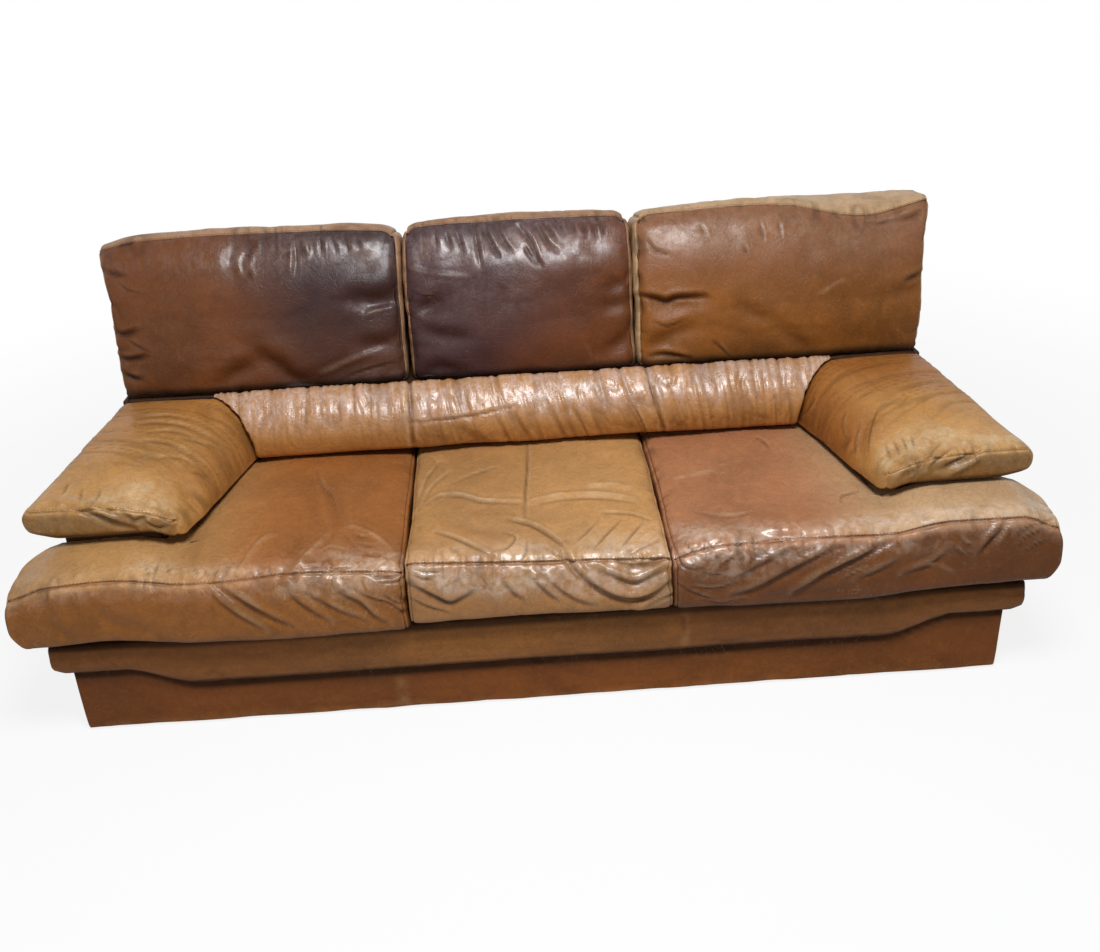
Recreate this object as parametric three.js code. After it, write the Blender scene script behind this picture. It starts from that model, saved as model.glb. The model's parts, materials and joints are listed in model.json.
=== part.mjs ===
// A worn three-seat leather sofa: loose box cushions, splayed pad arms and a gathered lumbar bolster on
// a timber frame with a plinth. Lengths are millimetres and +Z is up. x = 0 is the middle of the sofa,
// y = 0 is the front seam of the seat, y grows towards the back, and z = 0 is the floor. The last lines
// move the origin to the middle of the footprint.
import * as THREE from "three";
import { mergeVertices } from "three/addons/utils/BufferGeometryUtils.js";

// Fits
const touch = 0.3;

// Base: plinth boards, rails inside them and legs on glides
const plinthWidth = { front: 2000, back: 1880 };
const plinthFront = 53;
const plinthBack = 876;
const plinthTop = 232;
const plinthBoard = 14;
const glideHeight = 5;
const glideRadius = 16;
const railThickness = 26;
const railHeight = 96;
const midRailFront = 598;
const crossRailPlace = 340;
const legWidth = 60;
const dustCoverThickness = 2;

// Padded roll round the base, whose lower edge steps up near the ends
const rollFront = 36;
const rollSide = 31;
const rollTop = 238;
const rollBottom = 124;
const rollStep = { from: 735, to: 885, rise: 46, endRise: 8 };
const rollRadius = 8;

// Seat
const strapWidth = 60;
const strapThickness = 3;
const strapPlaces = [-500, -170, 170, 500];
const deckThickness = 3;
const deckFront = 60;
const seatSeam = 386;
const seatWidth = 541;
const seatGap = 4;
const seatDepth = 592;
const seatCrown = 24;
const seatEdge = 18;
const seatBulge = 16;
const seatBorder = 95;
const seatTuck = 14;
const wingReach = 1070;
const wingDepth = 158;
const wingCorner = { depth: 62, width: 72 };
const wingStart = 690;
const wingHump = 850;
const wingRim = 80;
const wingRise = { left: 16, right: 28 };
const wingSlope = 14;
const wingBulge = 5;
const wingTuck = 26;

// Arms
const armFront = 164;
const armTop = 436;
const armInset = 2;
const armBoard = 14;
const armPostWidth = 45;
const armPadFront = 126;
const armPadBack = 584;
const armPadOuter = { front: 1046, back: 952 };
const armPadInner = { front: 735, back: 634 };
const armPadTop = { front: 508, back: 548 };
const armPadTip = { front: 418, back: 396 };
const armPadShoulder = { front: 0.34, back: 0.66 };
const armPadCrown = 10;
const armPadLift = 12;
const armPadEdge = 18;
const armPadBulge = 10;
const armPadOverhang = 0.2;
const armOnFrame = 0.8;
const tipThickness = 24;

// Back
const ledgeTop = 540;
const backHalf = 928;
const backTop = 796;
const backLean = Math.tan(THREE.MathUtils.degToRad(15.5));
const backShellLean = 0.088;
const backPostWidth = 60;
const backPostDepth = 34;
const backPostInset = 54;

// Bolster
const bolsterFoot = 503;
const bolsterHead = 560;
const bolsterHalf = 736;
const bolsterEndGap = 7;
const bolsterFall = 22;
const bolsterBottom = 412;
const bolsterTop = 556;
const bolsterBulge = 20;
const bolsterEdge = 24;
const gatherPitch = 27;
const gatherDepth = 5;

// Back cushions
const backCushionFront = 592;
const backCushionTop = 888;
const backCushionDepth = 148;
const backCushionReach = { foot: 948, top: 963 };
const backCushionCrown = 26;
const backCushionEdge = 16;
const backCushionCorner = 11;
const backCushionDrop = 12;
const backCushionWiden = 200;

// Finishes
const finish = (color, roughness) => new THREE.MeshStandardMaterial({ color, roughness, metalness: 0 });
const tanLeather = finish(0xa06c3c, 0.45);
const goldenLeather = finish(0xb07c40, 0.4);
const redLeather = finish(0x985c3a, 0.5);
const darkLeather = finish(0x54332a, 0.4);
const brownLeather = finish(0x80522f, 0.45);
const baseLeather = finish(0x6e4524, 0.55);
const timber = finish(0xb99a6b, 0.8);
const webbing = finish(0x4a4138, 0.9);
const cloth = finish(0x26221f, 0.95);
const glidePlastic = finish(0x2b2724, 0.5);

const sofa = new THREE.Group();
const body = new THREE.Group();
sofa.add(body);

function add(name, geometry, material) {
  const mesh = new THREE.Mesh(geometry, material);
  mesh.name = name;
  body.add(mesh);
}

// Adds the right-hand piece and its mirror image on the left.
function addPair(name, geometry, material) {
  add(`${name}_right`, geometry, material);
  add(`${name}_left`, mirrored(geometry), material);
}

const clamp = (value, low, high) => Math.min(high, Math.max(low, value));
const mix = (a, b, t) => a + (b - a) * t;

function smooth(from, to, value) {
  const t = clamp((value - from) / (to - from), 0, 1);
  return t * t * (3 - 2 * t);
}

function welded(geometry) {
  geometry.deleteAttribute("normal");
  geometry.deleteAttribute("uv");
  return mergeVertices(geometry, 1e-3);
}

function mirrored(geometry) {
  const copy = welded(geometry.clone()).scale(-1, 1, 1);
  const { array } = copy.index;
  for (let i = 0; i < array.length; i += 3) {
    [array[i], array[i + 1]] = [array[i + 1], array[i]];
  }
  return copy;
}

// A box given by its lowest and highest corners.
function block(low, high) {
  const size = high.map((value, axis) => value - low[axis]);
  return new THREE.BoxGeometry(...size).translate(...low.map((value, axis) => value + size[axis] / 2));
}

// A plate whose outline [x, y] is seen from above.
function plate(outline, low, high) {
  const shape = new THREE.Shape(outline.map((point) => new THREE.Vector2(...point)));
  const options = { depth: high - low, bevelEnabled: false };
  return new THREE.ExtrudeGeometry(shape, options).translate(0, 0, low);
}

// Leans a board back: every point above `from` moves in y by its height over it times `slope`.
function leaning(geometry, from, slope) {
  const position = geometry.attributes.position;
  for (let i = 0; i < position.count; i += 1) {
    position.setY(i, position.getY(i) + Math.max(0, position.getZ(i) - from) * slope);
  }
  return geometry;
}

// Steps along one side of a soft block, finer where its edges are rounded.
const steps = (low, high, radius, ...between) => [
  low,
  low + 0.4 * radius,
  low + radius,
  ...between,
  high - radius,
  high - 0.4 * radius,
  high,
];

// A block with rounded edges, on a grid of the given steps. `shape` then places each point: it gets the
// point and its place in the block, from -1 to 1 along each axis, and gives back [x, y, z].
function softBlock(columns, rows, levels, radius, shape) {
  const lists = [columns, rows, levels];
  const geometry = welded(new THREE.BoxGeometry(2, 2, 2, ...lists.map((list) => list.length - 1)));
  const position = geometry.attributes.position;
  const low = lists.map((list) => list[0]);
  const high = lists.map((list) => list[list.length - 1]);
  for (let i = 0; i < position.count; i += 1) {
    const flat = [position.getX(i), position.getY(i), position.getZ(i)].map(
      (value, axis) => lists[axis][Math.round(((value + 1) / 2) * (lists[axis].length - 1))],
    );
    const core = flat.map((value, axis) => clamp(value, low[axis] + radius, high[axis] - radius));
    const out = new THREE.Vector3(...flat.map((value, axis) => value - core[axis])).setLength(radius);
    const point = out.add(new THREE.Vector3(...core));
    const place = flat.map((value, axis) => (2 * (value - low[axis])) / (high[axis] - low[axis]) - 1);
    position.setXYZ(i, ...shape(point, place));
  }
  return geometry;
}

// Places that several pieces share. The sofa's sides splay: they stand further out at the front.
const sideAt = (y) => {
  const share = (y - plinthFront) / (plinthBack - plinthFront);
  return mix(plinthWidth.front, plinthWidth.back, share) / 2;
};
const railTop = plinthTop;
const railBottom = railTop - railHeight;
const insidePlinth = { front: plinthFront + plinthBoard + touch, back: plinthBack - plinthBoard - touch };
const insideRails = {
  front: insidePlinth.front + railThickness + touch,
  back: insidePlinth.back - railThickness - touch,
};
const railOuterAt = (y) => sideAt(y) - plinthBoard - touch;
const railInnerAt = (y) => railOuterAt(y) - railThickness - touch;
const armOuterAt = (y) => sideAt(y) - armInset;
const armFrameAt = (y) => armOuterAt(y) - armBoard - touch;
const frameFoot = railTop + touch;
const deckTop = frameFoot + strapThickness + touch + deckThickness;
const seatBottom = deckTop + touch;
const bodyBack = plinthBack;
const armPadShare = (y) => (y - armPadFront) / (armPadBack - armPadFront);
const armPadOuterAt = (y) => mix(armPadOuter.front, armPadOuter.back, armPadShare(y));
const armPadInnerAt = (y) => mix(armPadInner.front, armPadInner.back, armPadShare(y));
const armInnerAt = (y) => mix(armPadOuterAt(y), armPadInnerAt(y), armOnFrame);
const armBack = midRailFront - touch;

// A plate between two depths, whose sides splay. `inner` and `outer` give x at a depth.
function splayedPlate(inner, outer, from, to, low, high) {
  const outline = [
    [inner(from), from],
    [outer(from), from],
    [outer(to), to],
    [inner(to), to],
  ];
  return plate(outline, low, high);
}

function addPlinth() {
  const low = glideHeight;
  const back = plinthBack - plinthBoard;
  const inner = (y) => sideAt(y) - plinthBoard;
  const across = (from) => splayedPlate((y) => -sideAt(y), sideAt, from, from + plinthBoard, low, plinthTop);
  add("plinth_front", across(plinthFront), baseLeather);
  add("plinth_back", across(back), baseLeather);
  const side = splayedPlate(inner, sideAt, plinthFront + plinthBoard + touch, back - touch, low, plinthTop);
  addPair("plinth_side", side, baseLeather);
}

function addRolls() {
  const half = sideAt(plinthFront) + rollSide;
  const { from, to, rise, endRise } = rollStep;
  const onStep = [0.7, 0.3].map((t) => mix(from, to, t));
  const quarter = [half - rollRadius, half - rollSide, to, ...onStep, from, from / 2];
  const columns = [-half, ...quarter.map((x) => -x), 0, ...quarter.toReversed(), half];
  const back = plinthFront - touch;
  const front = softBlock(
    columns,
    [rollFront, (rollFront + back) / 2, back],
    steps(rollBottom, rollTop, rollRadius, (rollBottom + rollTop) / 2),
    rollRadius,
    ({ x, y, z }) => {
      const atEnd = smooth(half - rollSide, half, Math.abs(x));
      const lift = rise * smooth(from, to, Math.abs(x)) + endRise * atEnd;
      return [x, y, mix(z + lift, z, (z - rollBottom) / (rollTop - rollBottom))];
    },
  );
  const side = softBlock(
    steps(touch, rollSide, rollRadius),
    steps(plinthFront, plinthBack, rollRadius),
    steps(rollBottom + rise, rollTop, rollRadius),
    rollRadius,
    ({ x, y, z }) => [sideAt(y) + x, y, z],
  );
  add("front_roll", front, brownLeather);
  addPair("side_roll", side, brownLeather);
}

function addBaseFrame() {
  const { front, back } = insidePlinth;
  const rail = (halfWidth, from) => {
    return block([-halfWidth, from, railBottom], [halfWidth, from + railThickness, railTop]);
  };
  add("front_rail", rail(railOuterAt(insideRails.front), front), timber);
  add("rear_rail", rail(railOuterAt(back), back - railThickness), timber);
  add("middle_rail", rail(railInnerAt(midRailFront + railThickness), midRailFront), timber);
  const { front: from, back: to } = insideRails;
  const side = splayedPlate((y) => railInnerAt(y) + touch, railOuterAt, from, to, railBottom, railTop);
  addPair("side_rail", side, timber);
  const crossFrom = [crossRailPlace - railThickness / 2, from, railBottom];
  const crossTo = [crossFrom[0] + railThickness, midRailFront - touch, railTop];
  addPair("cross_rail", block(crossFrom, crossTo), timber);
  const legRows = { front: from, rear: to - legWidth };
  for (const [row, y] of Object.entries(legRows)) {
    const outer = railInnerAt(y + legWidth);
    const leg = block([outer - legWidth, y, glideHeight + touch], [outer, y + legWidth, railTop]);
    const glide = new THREE.CylinderGeometry(glideRadius, glideRadius, glideHeight, 20);
    addPair(`${row}_leg`, leg, timber);
    glide.rotateX(Math.PI / 2).translate(outer - legWidth / 2, y + legWidth / 2, glideHeight / 2);
    addPair(`${row}_glide`, glide, glidePlastic);
  }
  const coverBack = legRows.rear - touch;
  const coverTop = railBottom - touch;
  const dustCover = block(
    [-railInnerAt(coverBack), legRows.front + legWidth + touch, coverTop - dustCoverThickness],
    [railInnerAt(coverBack), coverBack, coverTop],
  );
  add("dust_cover", dustCover, cloth);
}

function addSeatDeck() {
  for (const [index, x] of strapPlaces.entries()) {
    const strap = block(
      [x - strapWidth / 2, insidePlinth.front, frameFoot],
      [x + strapWidth / 2, armBack, frameFoot + strapThickness],
    );
    add(`seat_strap_${index + 1}`, strap, webbing);
  }
  const wingEnd = armFront - touch;
  const side = (y) => armInnerAt(y) - touch;
  const rightEdge = [
    [railOuterAt(wingEnd), deckFront],
    [railOuterAt(wingEnd), wingEnd],
    [side(wingEnd), wingEnd],
    [side(armBack), armBack],
  ];
  const leftEdge = rightEdge.map(([x, y]) => [-x, y]).reverse();
  add("seat_deck", plate([...leftEdge, ...rightEdge], deckTop - deckThickness, deckTop), cloth);
}

// From 0 to 1 and back again over a span, full in the middle.
const arch = (from, to, value) => Math.sqrt(Math.sin(Math.PI * clamp((value - from) / (to - from), 0, 1)));

// Rise of an outer cushion's top over its seam: its crown, the hump of its wing and the slope up to the arm.
function seatRiseAt(x, y, rise) {
  const crown = seatCrown * arch(seatWidth / 2, armPadInner.front, x) * arch(0, seatDepth, y);
  const onWing = smooth(wingStart, wingHump, x);
  const hump = rise * onWing * (1 - smooth(wingReach - wingRim, wingReach, x));
  const climb = wingSlope * smooth(0, wingDepth, y) * onWing;
  const nearFront = 1 - smooth(wingDepth, 1.6 * wingDepth, y);
  return crown + nearFront * (hump + climb);
}

// The front border bulges between its seams and tucks in under the cushion.
function borderShift(y, share) {
  const nearFront = 1 - smooth(0, seatBorder, y);
  const bulge = seatBulge * (1 - share * share);
  const tuck = seatTuck * smooth(-0.2, -1, share);
  return nearFront * (tuck - bulge);
}

function centreSeat(levels) {
  const half = seatWidth / 2;
  const columns = steps(-half, half, seatEdge, -half * 0.55, 0, half * 0.55);
  const rows = steps(0, seatDepth, seatEdge, ...[0.12, 0.3, 0.51, 0.73].map((t) => t * seatDepth));
  return softBlock(columns, rows, levels, seatEdge, ({ x, y, z }, [, , pz]) => {
    const crown = seatCrown * arch(-half, half, x) * arch(0, seatDepth, y);
    return [x, y + borderShift(y, pz), z + crown * Math.max(0, pz)];
  });
}

// The right-hand outer seat cushion. At the front a wing reaches out past the arm.
function outerSeat(levels, rise) {
  const start = seatWidth / 2 + seatGap;
  const end = armInnerAt(armFront) - seatGap;
  const inset = end - seatEdge;
  const main = [0.25, 0.5, 0.72, 1].map((t) => mix(start, wingStart, t));
  const onWing = [0.3, 0.6, 0.85].map((t) => mix(wingStart, inset, t));
  const cornerFrom = wingDepth - wingCorner.depth;
  const round = [0.45, 0.75].map((t) => mix(cornerFrom, wingDepth, t));
  const behind = [0, 0.19, 0.44, 0.72].map((t) => mix(wingDepth + seatGap, seatDepth, t));
  const middles = [0.62 * cornerFrom, cornerFrom, ...round, wingDepth, ...behind];
  const columns = steps(start, end, seatEdge, ...main, ...onWing);
  const rows = steps(0, seatDepth, seatEdge, ...middles);
  return softBlock(columns, rows, levels, seatEdge, ({ x, y, z }, [, , pz]) => {
    const turn = clamp((y - cornerFrom) / wingCorner.depth, 0, 1);
    const bulge = wingBulge * (1 - pz * pz) - wingTuck * smooth(0, -1, pz);
    const wingEnd = wingReach - wingCorner.width * (1 - Math.sqrt(1 - turn * turn)) + bulge;
    const backEnd = armInnerAt(y) - seatGap;
    const reach = y <= wingDepth ? wingEnd : backEnd;
    const knee = y <= wingDepth ? wingStart : Math.min(wingStart, backEnd - 3 * seatEdge);
    let placed = mix(start, knee, (x - start) / (wingStart - start));
    if (x > wingStart) placed = mix(knee, reach - seatEdge, (x - wingStart) / (inset - wingStart));
    if (x > inset) placed = reach - (end - x);
    return [placed, y + borderShift(y, pz), z + seatRiseAt(placed, y, rise) * Math.max(0, pz)];
  });
}

function addSeatCushions() {
  const levels = steps(seatBottom, seatSeam, seatEdge, mix(seatBottom, seatSeam, 0.5));
  add("seat_cushion_centre", centreSeat(levels), goldenLeather);
  add("seat_cushion_right", outerSeat(levels, wingRise.right), redLeather);
  add("seat_cushion_left", mirrored(outerSeat(levels, wingRise.left)), tanLeather);
}

function addArms() {
  const boardBack = armFront + armBoard;
  const boardTop = armTop - armBoard;
  const frontFoot = [armInnerAt(armFront), armFront, frameFoot];
  const front = block(frontFoot, [armOuterAt(boardBack), boardBack, armTop]);
  addPair("arm_front_panel", front, brownLeather);
  const from = boardBack + touch;
  const boardInner = (y) => armInnerAt(y) + armBoard;
  const inner = splayedPlate(armInnerAt, boardInner, from, armBack, frameFoot, boardTop - touch);
  addPair("arm_inner_panel", inner, brownLeather);
  addPair("arm_top_board", splayedPlate(armInnerAt, armFrameAt, from, armBack, boardTop, armTop), timber);
  const sideInner = (y) => armFrameAt(y) + touch;
  const side = splayedPlate(sideInner, armOuterAt, from, armBack, frameFoot, armTop);
  addPair("arm_side_panel", side, brownLeather);
  const postOuter = armFrameAt(from + armPostWidth);
  const postFoot = [postOuter - armPostWidth, from, frameFoot];
  const post = block(postFoot, [postOuter, from + armPostWidth, boardTop - touch]);
  addPair("arm_post", post, timber);
}

// The section of an arm pad at y: its ridge, its tip on the seat, and where its top starts to fall.
function padSection(y) {
  const along = armPadShare(y);
  const tip = mix(armPadTip.front, armPadTip.back, along);
  return {
    along,
    tip,
    tipTop: tip + tipThickness,
    ridge: mix(armPadTop.front, armPadTop.back, along),
    shoulder: mix(armPadShoulder.front, armPadShoulder.back, along),
  };
}

function armPad() {
  const width = armPadOuter.front - armPadInner.front;
  const height = armPadTop.front - armTop;
  const shares = [0.92, armOnFrame + 0.04, armOnFrame, 0.68, 0.55, 0.4, 0.22];
  const columns = steps(0, width, armPadEdge, ...shares.map((share) => (1 - share) * width));
  const middles = [0.14, 0.34, 0.55, 0.77].map((t) => mix(armPadFront, armPadBack, t));
  const rows = steps(armPadFront, armPadBack, armPadEdge, ...middles);
  const levels = steps(0, height, armPadEdge, height / 2);
  return softBlock(columns, rows, levels, armPadEdge, ({ x, y, z }, [, , pz]) => {
    const share = 1 - x / width;
    const { along, tip, tipTop, ridge, shoulder } = padSection(y);
    const fall = clamp((share - shoulder) / (1 - shoulder), 0, 1);
    const crown = armPadCrown * arch(0, shoulder, share) * arch(0, 1, along);
    const top = tipTop + (ridge - tipTop) * Math.sqrt(1 - fall * fall) + crown;
    const nearOuter = smooth(armPadOverhang, 0, share);
    const rest = armTop + touch + armPadLift * nearOuter * (1 - along);
    const under = mix(rest, tip, smooth(armOnFrame, 1, share));
    const bulge = armPadBulge * (1 - pz * pz) * nearOuter;
    return [mix(armPadOuterAt(y), armPadInnerAt(y), share) + bulge, y, mix(under, top, z / height)];
  });
}

// How far from the middle the arm pad's inner face lies at a height, where the bolster meets it.
function padFaceAt(y, z) {
  const { tipTop, ridge, shoulder } = padSection(Math.min(y, armPadBack));
  const rise = clamp((z - tipTop) / (ridge - tipTop), 0, 1);
  const share = mix(shoulder, 1, Math.sqrt(1 - rise * rise));
  const nearest = Math.min(y, armPadBack);
  return mix(armPadOuterAt(nearest), armPadInnerAt(nearest), share);
}

function addBackFrame() {
  const lumbarBack = midRailFront + armBoard;
  const shelfFoot = ledgeTop - armBoard;
  const half = armFrameAt(lumbarBack);
  const lumbar = block([-half, midRailFront, frameFoot], [half, lumbarBack, shelfFoot - touch]);
  add("lumbar_board", lumbar, brownLeather);
  const shellFront = bodyBack - armBoard;
  const ledgeBack = shellFront - touch;
  const ledgeCorners = [
    [armFrameAt(midRailFront), midRailFront],
    [armFrameAt(ledgeBack), ledgeBack],
  ];
  const ledgeOutline = [...ledgeCorners.map(([x, y]) => [-x, y]).reverse(), ...ledgeCorners];
  add("back_ledge", plate(ledgeOutline, shelfFoot, ledgeTop), brownLeather);
  const sideInner = (y) => armFrameAt(y) + touch;
  const side = splayedPlate(sideInner, armOuterAt, midRailFront, ledgeBack, frameFoot, ledgeTop);
  addPair("back_side_panel", side, brownLeather);
  const lowerHalf = armOuterAt(shellFront);
  const lower = block([-lowerHalf, shellFront, frameFoot], [lowerHalf, bodyBack, ledgeTop]);
  add("rear_panel_lower", lower, darkLeather);
  const upperFoot = ledgeTop + touch;
  const capFoot = backTop - armBoard;
  const upper = block([-backHalf, shellFront, upperFoot], [backHalf, bodyBack, capFoot - touch]);
  add("rear_panel_upper", leaning(upper, upperFoot, backShellLean), darkLeather);
  const restFront = backCushionFront + backCushionDepth + touch + (upperFoot - ledgeTop) * backLean;
  const rest = block([-backHalf, restFront, upperFoot], [backHalf, restFront + armBoard, capFoot - touch]);
  add("back_rest_panel", leaning(rest, upperFoot, backLean), darkLeather);
  const restTop = restFront + (backTop - upperFoot) * backLean;
  const shellTop = bodyBack + (capFoot - upperFoot) * backShellLean;
  add("back_cap", block([-backHalf, restTop, capFoot], [backHalf, shellTop, backTop]), darkLeather);
  const sideOutline = (x0, x1) => {
    const inFront = restFront + armBoard + touch;
    const inBack = shellFront - touch;
    const rise = capFoot - touch - upperFoot;
    const shape = new THREE.Shape([
      new THREE.Vector2(inFront, upperFoot),
      new THREE.Vector2(inBack, upperFoot),
      new THREE.Vector2(inBack + rise * backShellLean, upperFoot + rise),
      new THREE.Vector2(inFront + rise * backLean, upperFoot + rise),
    ]);
    const board = new THREE.ExtrudeGeometry(shape, { depth: x1 - x0, bevelEnabled: false });
    return board.rotateX(Math.PI / 2).rotateZ(Math.PI / 2).translate(x0, 0, 0);
  };
  addPair("back_end_panel", sideOutline(backHalf - armBoard, backHalf), darkLeather);
  const postPlace = backHalf - armBoard - backPostInset;
  for (const [place, x] of Object.entries({ left: -postPlace, centre: 0, right: postPlace })) {
    const to = shellFront - touch;
    const post = block(
      [x - backPostWidth / 2, to - backPostDepth, upperFoot],
      [x + backPostWidth / 2, to, capFoot - touch],
    );
    add(`back_post_${place}`, leaning(post, upperFoot, backShellLean), timber);
  }
}

// The bolster is a roll between the arm pads. Its leather is gathered into upright pleats.
function bolster() {
  const folds = 4 * Math.round(bolsterHalf / gatherPitch);
  const columns = Array.from({ length: folds + 1 }, (_, i) => mix(-bolsterHalf, bolsterHalf, i / folds));
  const back = midRailFront - touch;
  const rows = [bolsterHead - bolsterEdge, bolsterHead, mix(bolsterHead, back, 0.6), back];
  const middles = [0.35, 0.55, 0.7].map((t) => mix(bolsterBottom, bolsterTop, t));
  const levels = steps(bolsterBottom, bolsterTop, bolsterEdge, ...middles);
  return softBlock(columns, rows, levels, bolsterEdge / 2, ({ x, y, z }, [px, , pz]) => {
    const up = (z - bolsterBottom) / (bolsterTop - bolsterBottom);
    const face = mix(bolsterFoot, bolsterHead, up * up) - bolsterBulge * Math.sin(Math.PI * up);
    const toFront = (back - y) / (back - rows[0]);
    const valley = Math.round(((px + 1) / 2) * folds) % 2 === 1 ? gatherDepth : 0;
    const placed = mix(back, face + valley, toFront);
    const half = Math.min(bolsterHalf, padFaceAt(placed, z - bolsterEndGap) - bolsterEndGap);
    const atTop = smooth(0.2, 1, pz);
    const sink = valley * 0.6 * atTop * toFront + bolsterFall * atTop * smooth(0.65, 0.25, toFront);
    return [(x * half) / bolsterHalf, placed, z - sink];
  });
}

function addBackCushions() {
  const bottom = ledgeTop + touch;
  const centreHalf = seatWidth / 2;
  const outerStart = centreHalf + seatGap;
  const spans = {
    left: [-backCushionReach.foot, -outerStart, darkLeather],
    centre: [-centreHalf, centreHalf, darkLeather],
    right: [outerStart, backCushionReach.foot, tanLeather],
  };
  for (const [place, [from, to, material]] of Object.entries(spans)) {
    const columns = steps(from, to, backCushionEdge, ...[0.22, 0.5, 0.78].map((t) => mix(from, to, t)));
    const rows = steps(0, backCushionDepth, backCushionEdge, backCushionDepth / 2);
    const middles = [0.22, 0.45, 0.68].map((t) => mix(bottom, backCushionTop, t));
    const levels = steps(bottom, backCushionTop, backCushionEdge, ...middles);
    const cushion = softBlock(columns, rows, levels, backCushionEdge, ({ x, y, z }, [px, py, pz]) => {
      const across = Math.sqrt(1 - px * px);
      const crown = backCushionCrown * across * Math.sqrt(1 - pz * pz) * Math.max(0, -py);
      const up = (z - bottom) / (backCushionTop - bottom);
      const sag = backCushionCorner * (1 - across) + backCushionDrop * (y / backCushionDepth);
      const height = z - sag * up * up;
      const widen = (backCushionReach.top - backCushionReach.foot) * up;
      const outward = Math.sign(x) * clamp((Math.abs(x) - outerStart) / backCushionWiden, 0, 1);
      return [x + widen * outward, backCushionFront + y - crown + (height - ledgeTop) * backLean, height];
    });
    add(`back_cushion_${place}`, cushion, material);
  }
}

addPlinth();
addRolls();
addBaseFrame();
addSeatDeck();
addSeatCushions();
addArms();
addPair("arm_cushion", armPad(), tanLeather);
addBackFrame();
add("lumbar_bolster", bolster(), goldenLeather);
addBackCushions();

const bounds = new THREE.Box3().setFromObject(body);
const middle = bounds.getCenter(new THREE.Vector3());
body.position.set(-middle.x, -middle.y, -bounds.min.z);

export default sofa;
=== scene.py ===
"""A worn three-seat leather sofa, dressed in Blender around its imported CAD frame.

Shapes are worked out in metres in the sofa's section frame: x = 0 is the middle, y = 0 the front seam of
the seat, y grows towards the back, and z = 0 is the floor. `make_piece` moves them into the frame's place.
Folds are listed in pixels of the 1100 x 952 photograph and pressed into the surface that the camera sees.
"""
import json
import math

import bpy
import numpy as np
from mathutils import Matrix, Vector


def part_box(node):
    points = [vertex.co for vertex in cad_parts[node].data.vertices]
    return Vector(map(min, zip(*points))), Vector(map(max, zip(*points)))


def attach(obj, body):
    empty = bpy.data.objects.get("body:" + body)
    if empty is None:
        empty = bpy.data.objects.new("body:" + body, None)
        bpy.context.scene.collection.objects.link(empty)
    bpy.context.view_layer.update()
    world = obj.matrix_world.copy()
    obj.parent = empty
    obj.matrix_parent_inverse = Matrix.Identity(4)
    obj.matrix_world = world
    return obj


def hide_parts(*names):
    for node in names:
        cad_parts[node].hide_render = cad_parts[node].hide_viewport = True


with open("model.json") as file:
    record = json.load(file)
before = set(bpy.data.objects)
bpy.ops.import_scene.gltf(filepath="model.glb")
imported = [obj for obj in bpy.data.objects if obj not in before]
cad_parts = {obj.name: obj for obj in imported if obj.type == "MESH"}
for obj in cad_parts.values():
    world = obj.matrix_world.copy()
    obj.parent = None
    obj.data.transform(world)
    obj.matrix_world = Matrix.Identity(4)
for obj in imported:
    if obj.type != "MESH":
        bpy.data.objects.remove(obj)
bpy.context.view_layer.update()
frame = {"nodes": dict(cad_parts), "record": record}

# Driving sizes, in metres
PLINTH_SETBACK = 0.053
FRONT_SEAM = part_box("plinth_front")[0].y - PLINTH_SETBACK
EDGE = 0.018
SEAM_WIDTH = 0.0024
SEAM_DEPTH = 0.0020
WELT_PLACE = 0.0068
WELT_WIDTH = 1.4 * SEAM_WIDTH
WELT_HEIGHT = 0.0010


def section_box(node):
    """A node's lowest and highest corners in the section frame."""
    low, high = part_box(node)
    shift = Vector((0, FRONT_SEAM, 0))
    return low - shift, high - shift


SEAT_LOW, SEAT_HIGH = section_box("seat_cushion_centre")
PAD_LOW, PAD_HIGH = section_box("arm_cushion_right")
BACK_LOW = section_box("back_cushion_right")[0]
PLINTH_LOW = section_box("plinth_front")[0]
SIDE_HIGH = section_box("plinth_side_right")[1]
LEDGE_TOP = section_box("back_ledge")[1].z


# Numbers on arrays
def smooth(start, end, value):
    share = np.clip((value - start) / (end - start), 0, 1)
    return share * share * (3 - 2 * share)


def mix(a, b, share):
    return a + (b - a) * share


def arch(start, end, value):
    """From 0 to 1 and back over a span, full in the middle."""
    return np.sqrt(np.sin(math.pi * np.clip((value - start) / (end - start), 0, 1)))


def close_to(distance, reach):
    """1 where a distance is 0, dying out over the reach."""
    return np.exp(-((distance / reach) ** 2))


def hump(middle, width, value):
    return close_to(value - middle, width)


NOISE_CELLS = 32


def noise(points, size, seed):
    """Smooth noise from -1 to 1. `size` is the length of one cell, a number or one for each axis."""
    grid = np.random.default_rng(seed).uniform(-1, 1, (NOISE_CELLS,) * 3)
    place = np.asarray(points) / size
    cell = np.floor(place).astype(int)
    part = place - cell
    part = part * part * (3 - 2 * part)
    total = np.zeros(len(place))
    for corner in np.ndindex(2, 2, 2):
        weight = np.prod(np.where(corner, part, 1 - part), axis=1)
        i, j, k = ((cell + corner) % NOISE_CELLS).T
        total += weight * grid[i, j, k]
    return total


def creased(points, size, seed, width=0.22):
    """Thin wandering lines, 1 on a line and 0 away from it."""
    return close_to(noise(points, size, seed), width)


def stacked(*columns):
    return np.stack(np.broadcast_arrays(*columns), -1)


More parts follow.
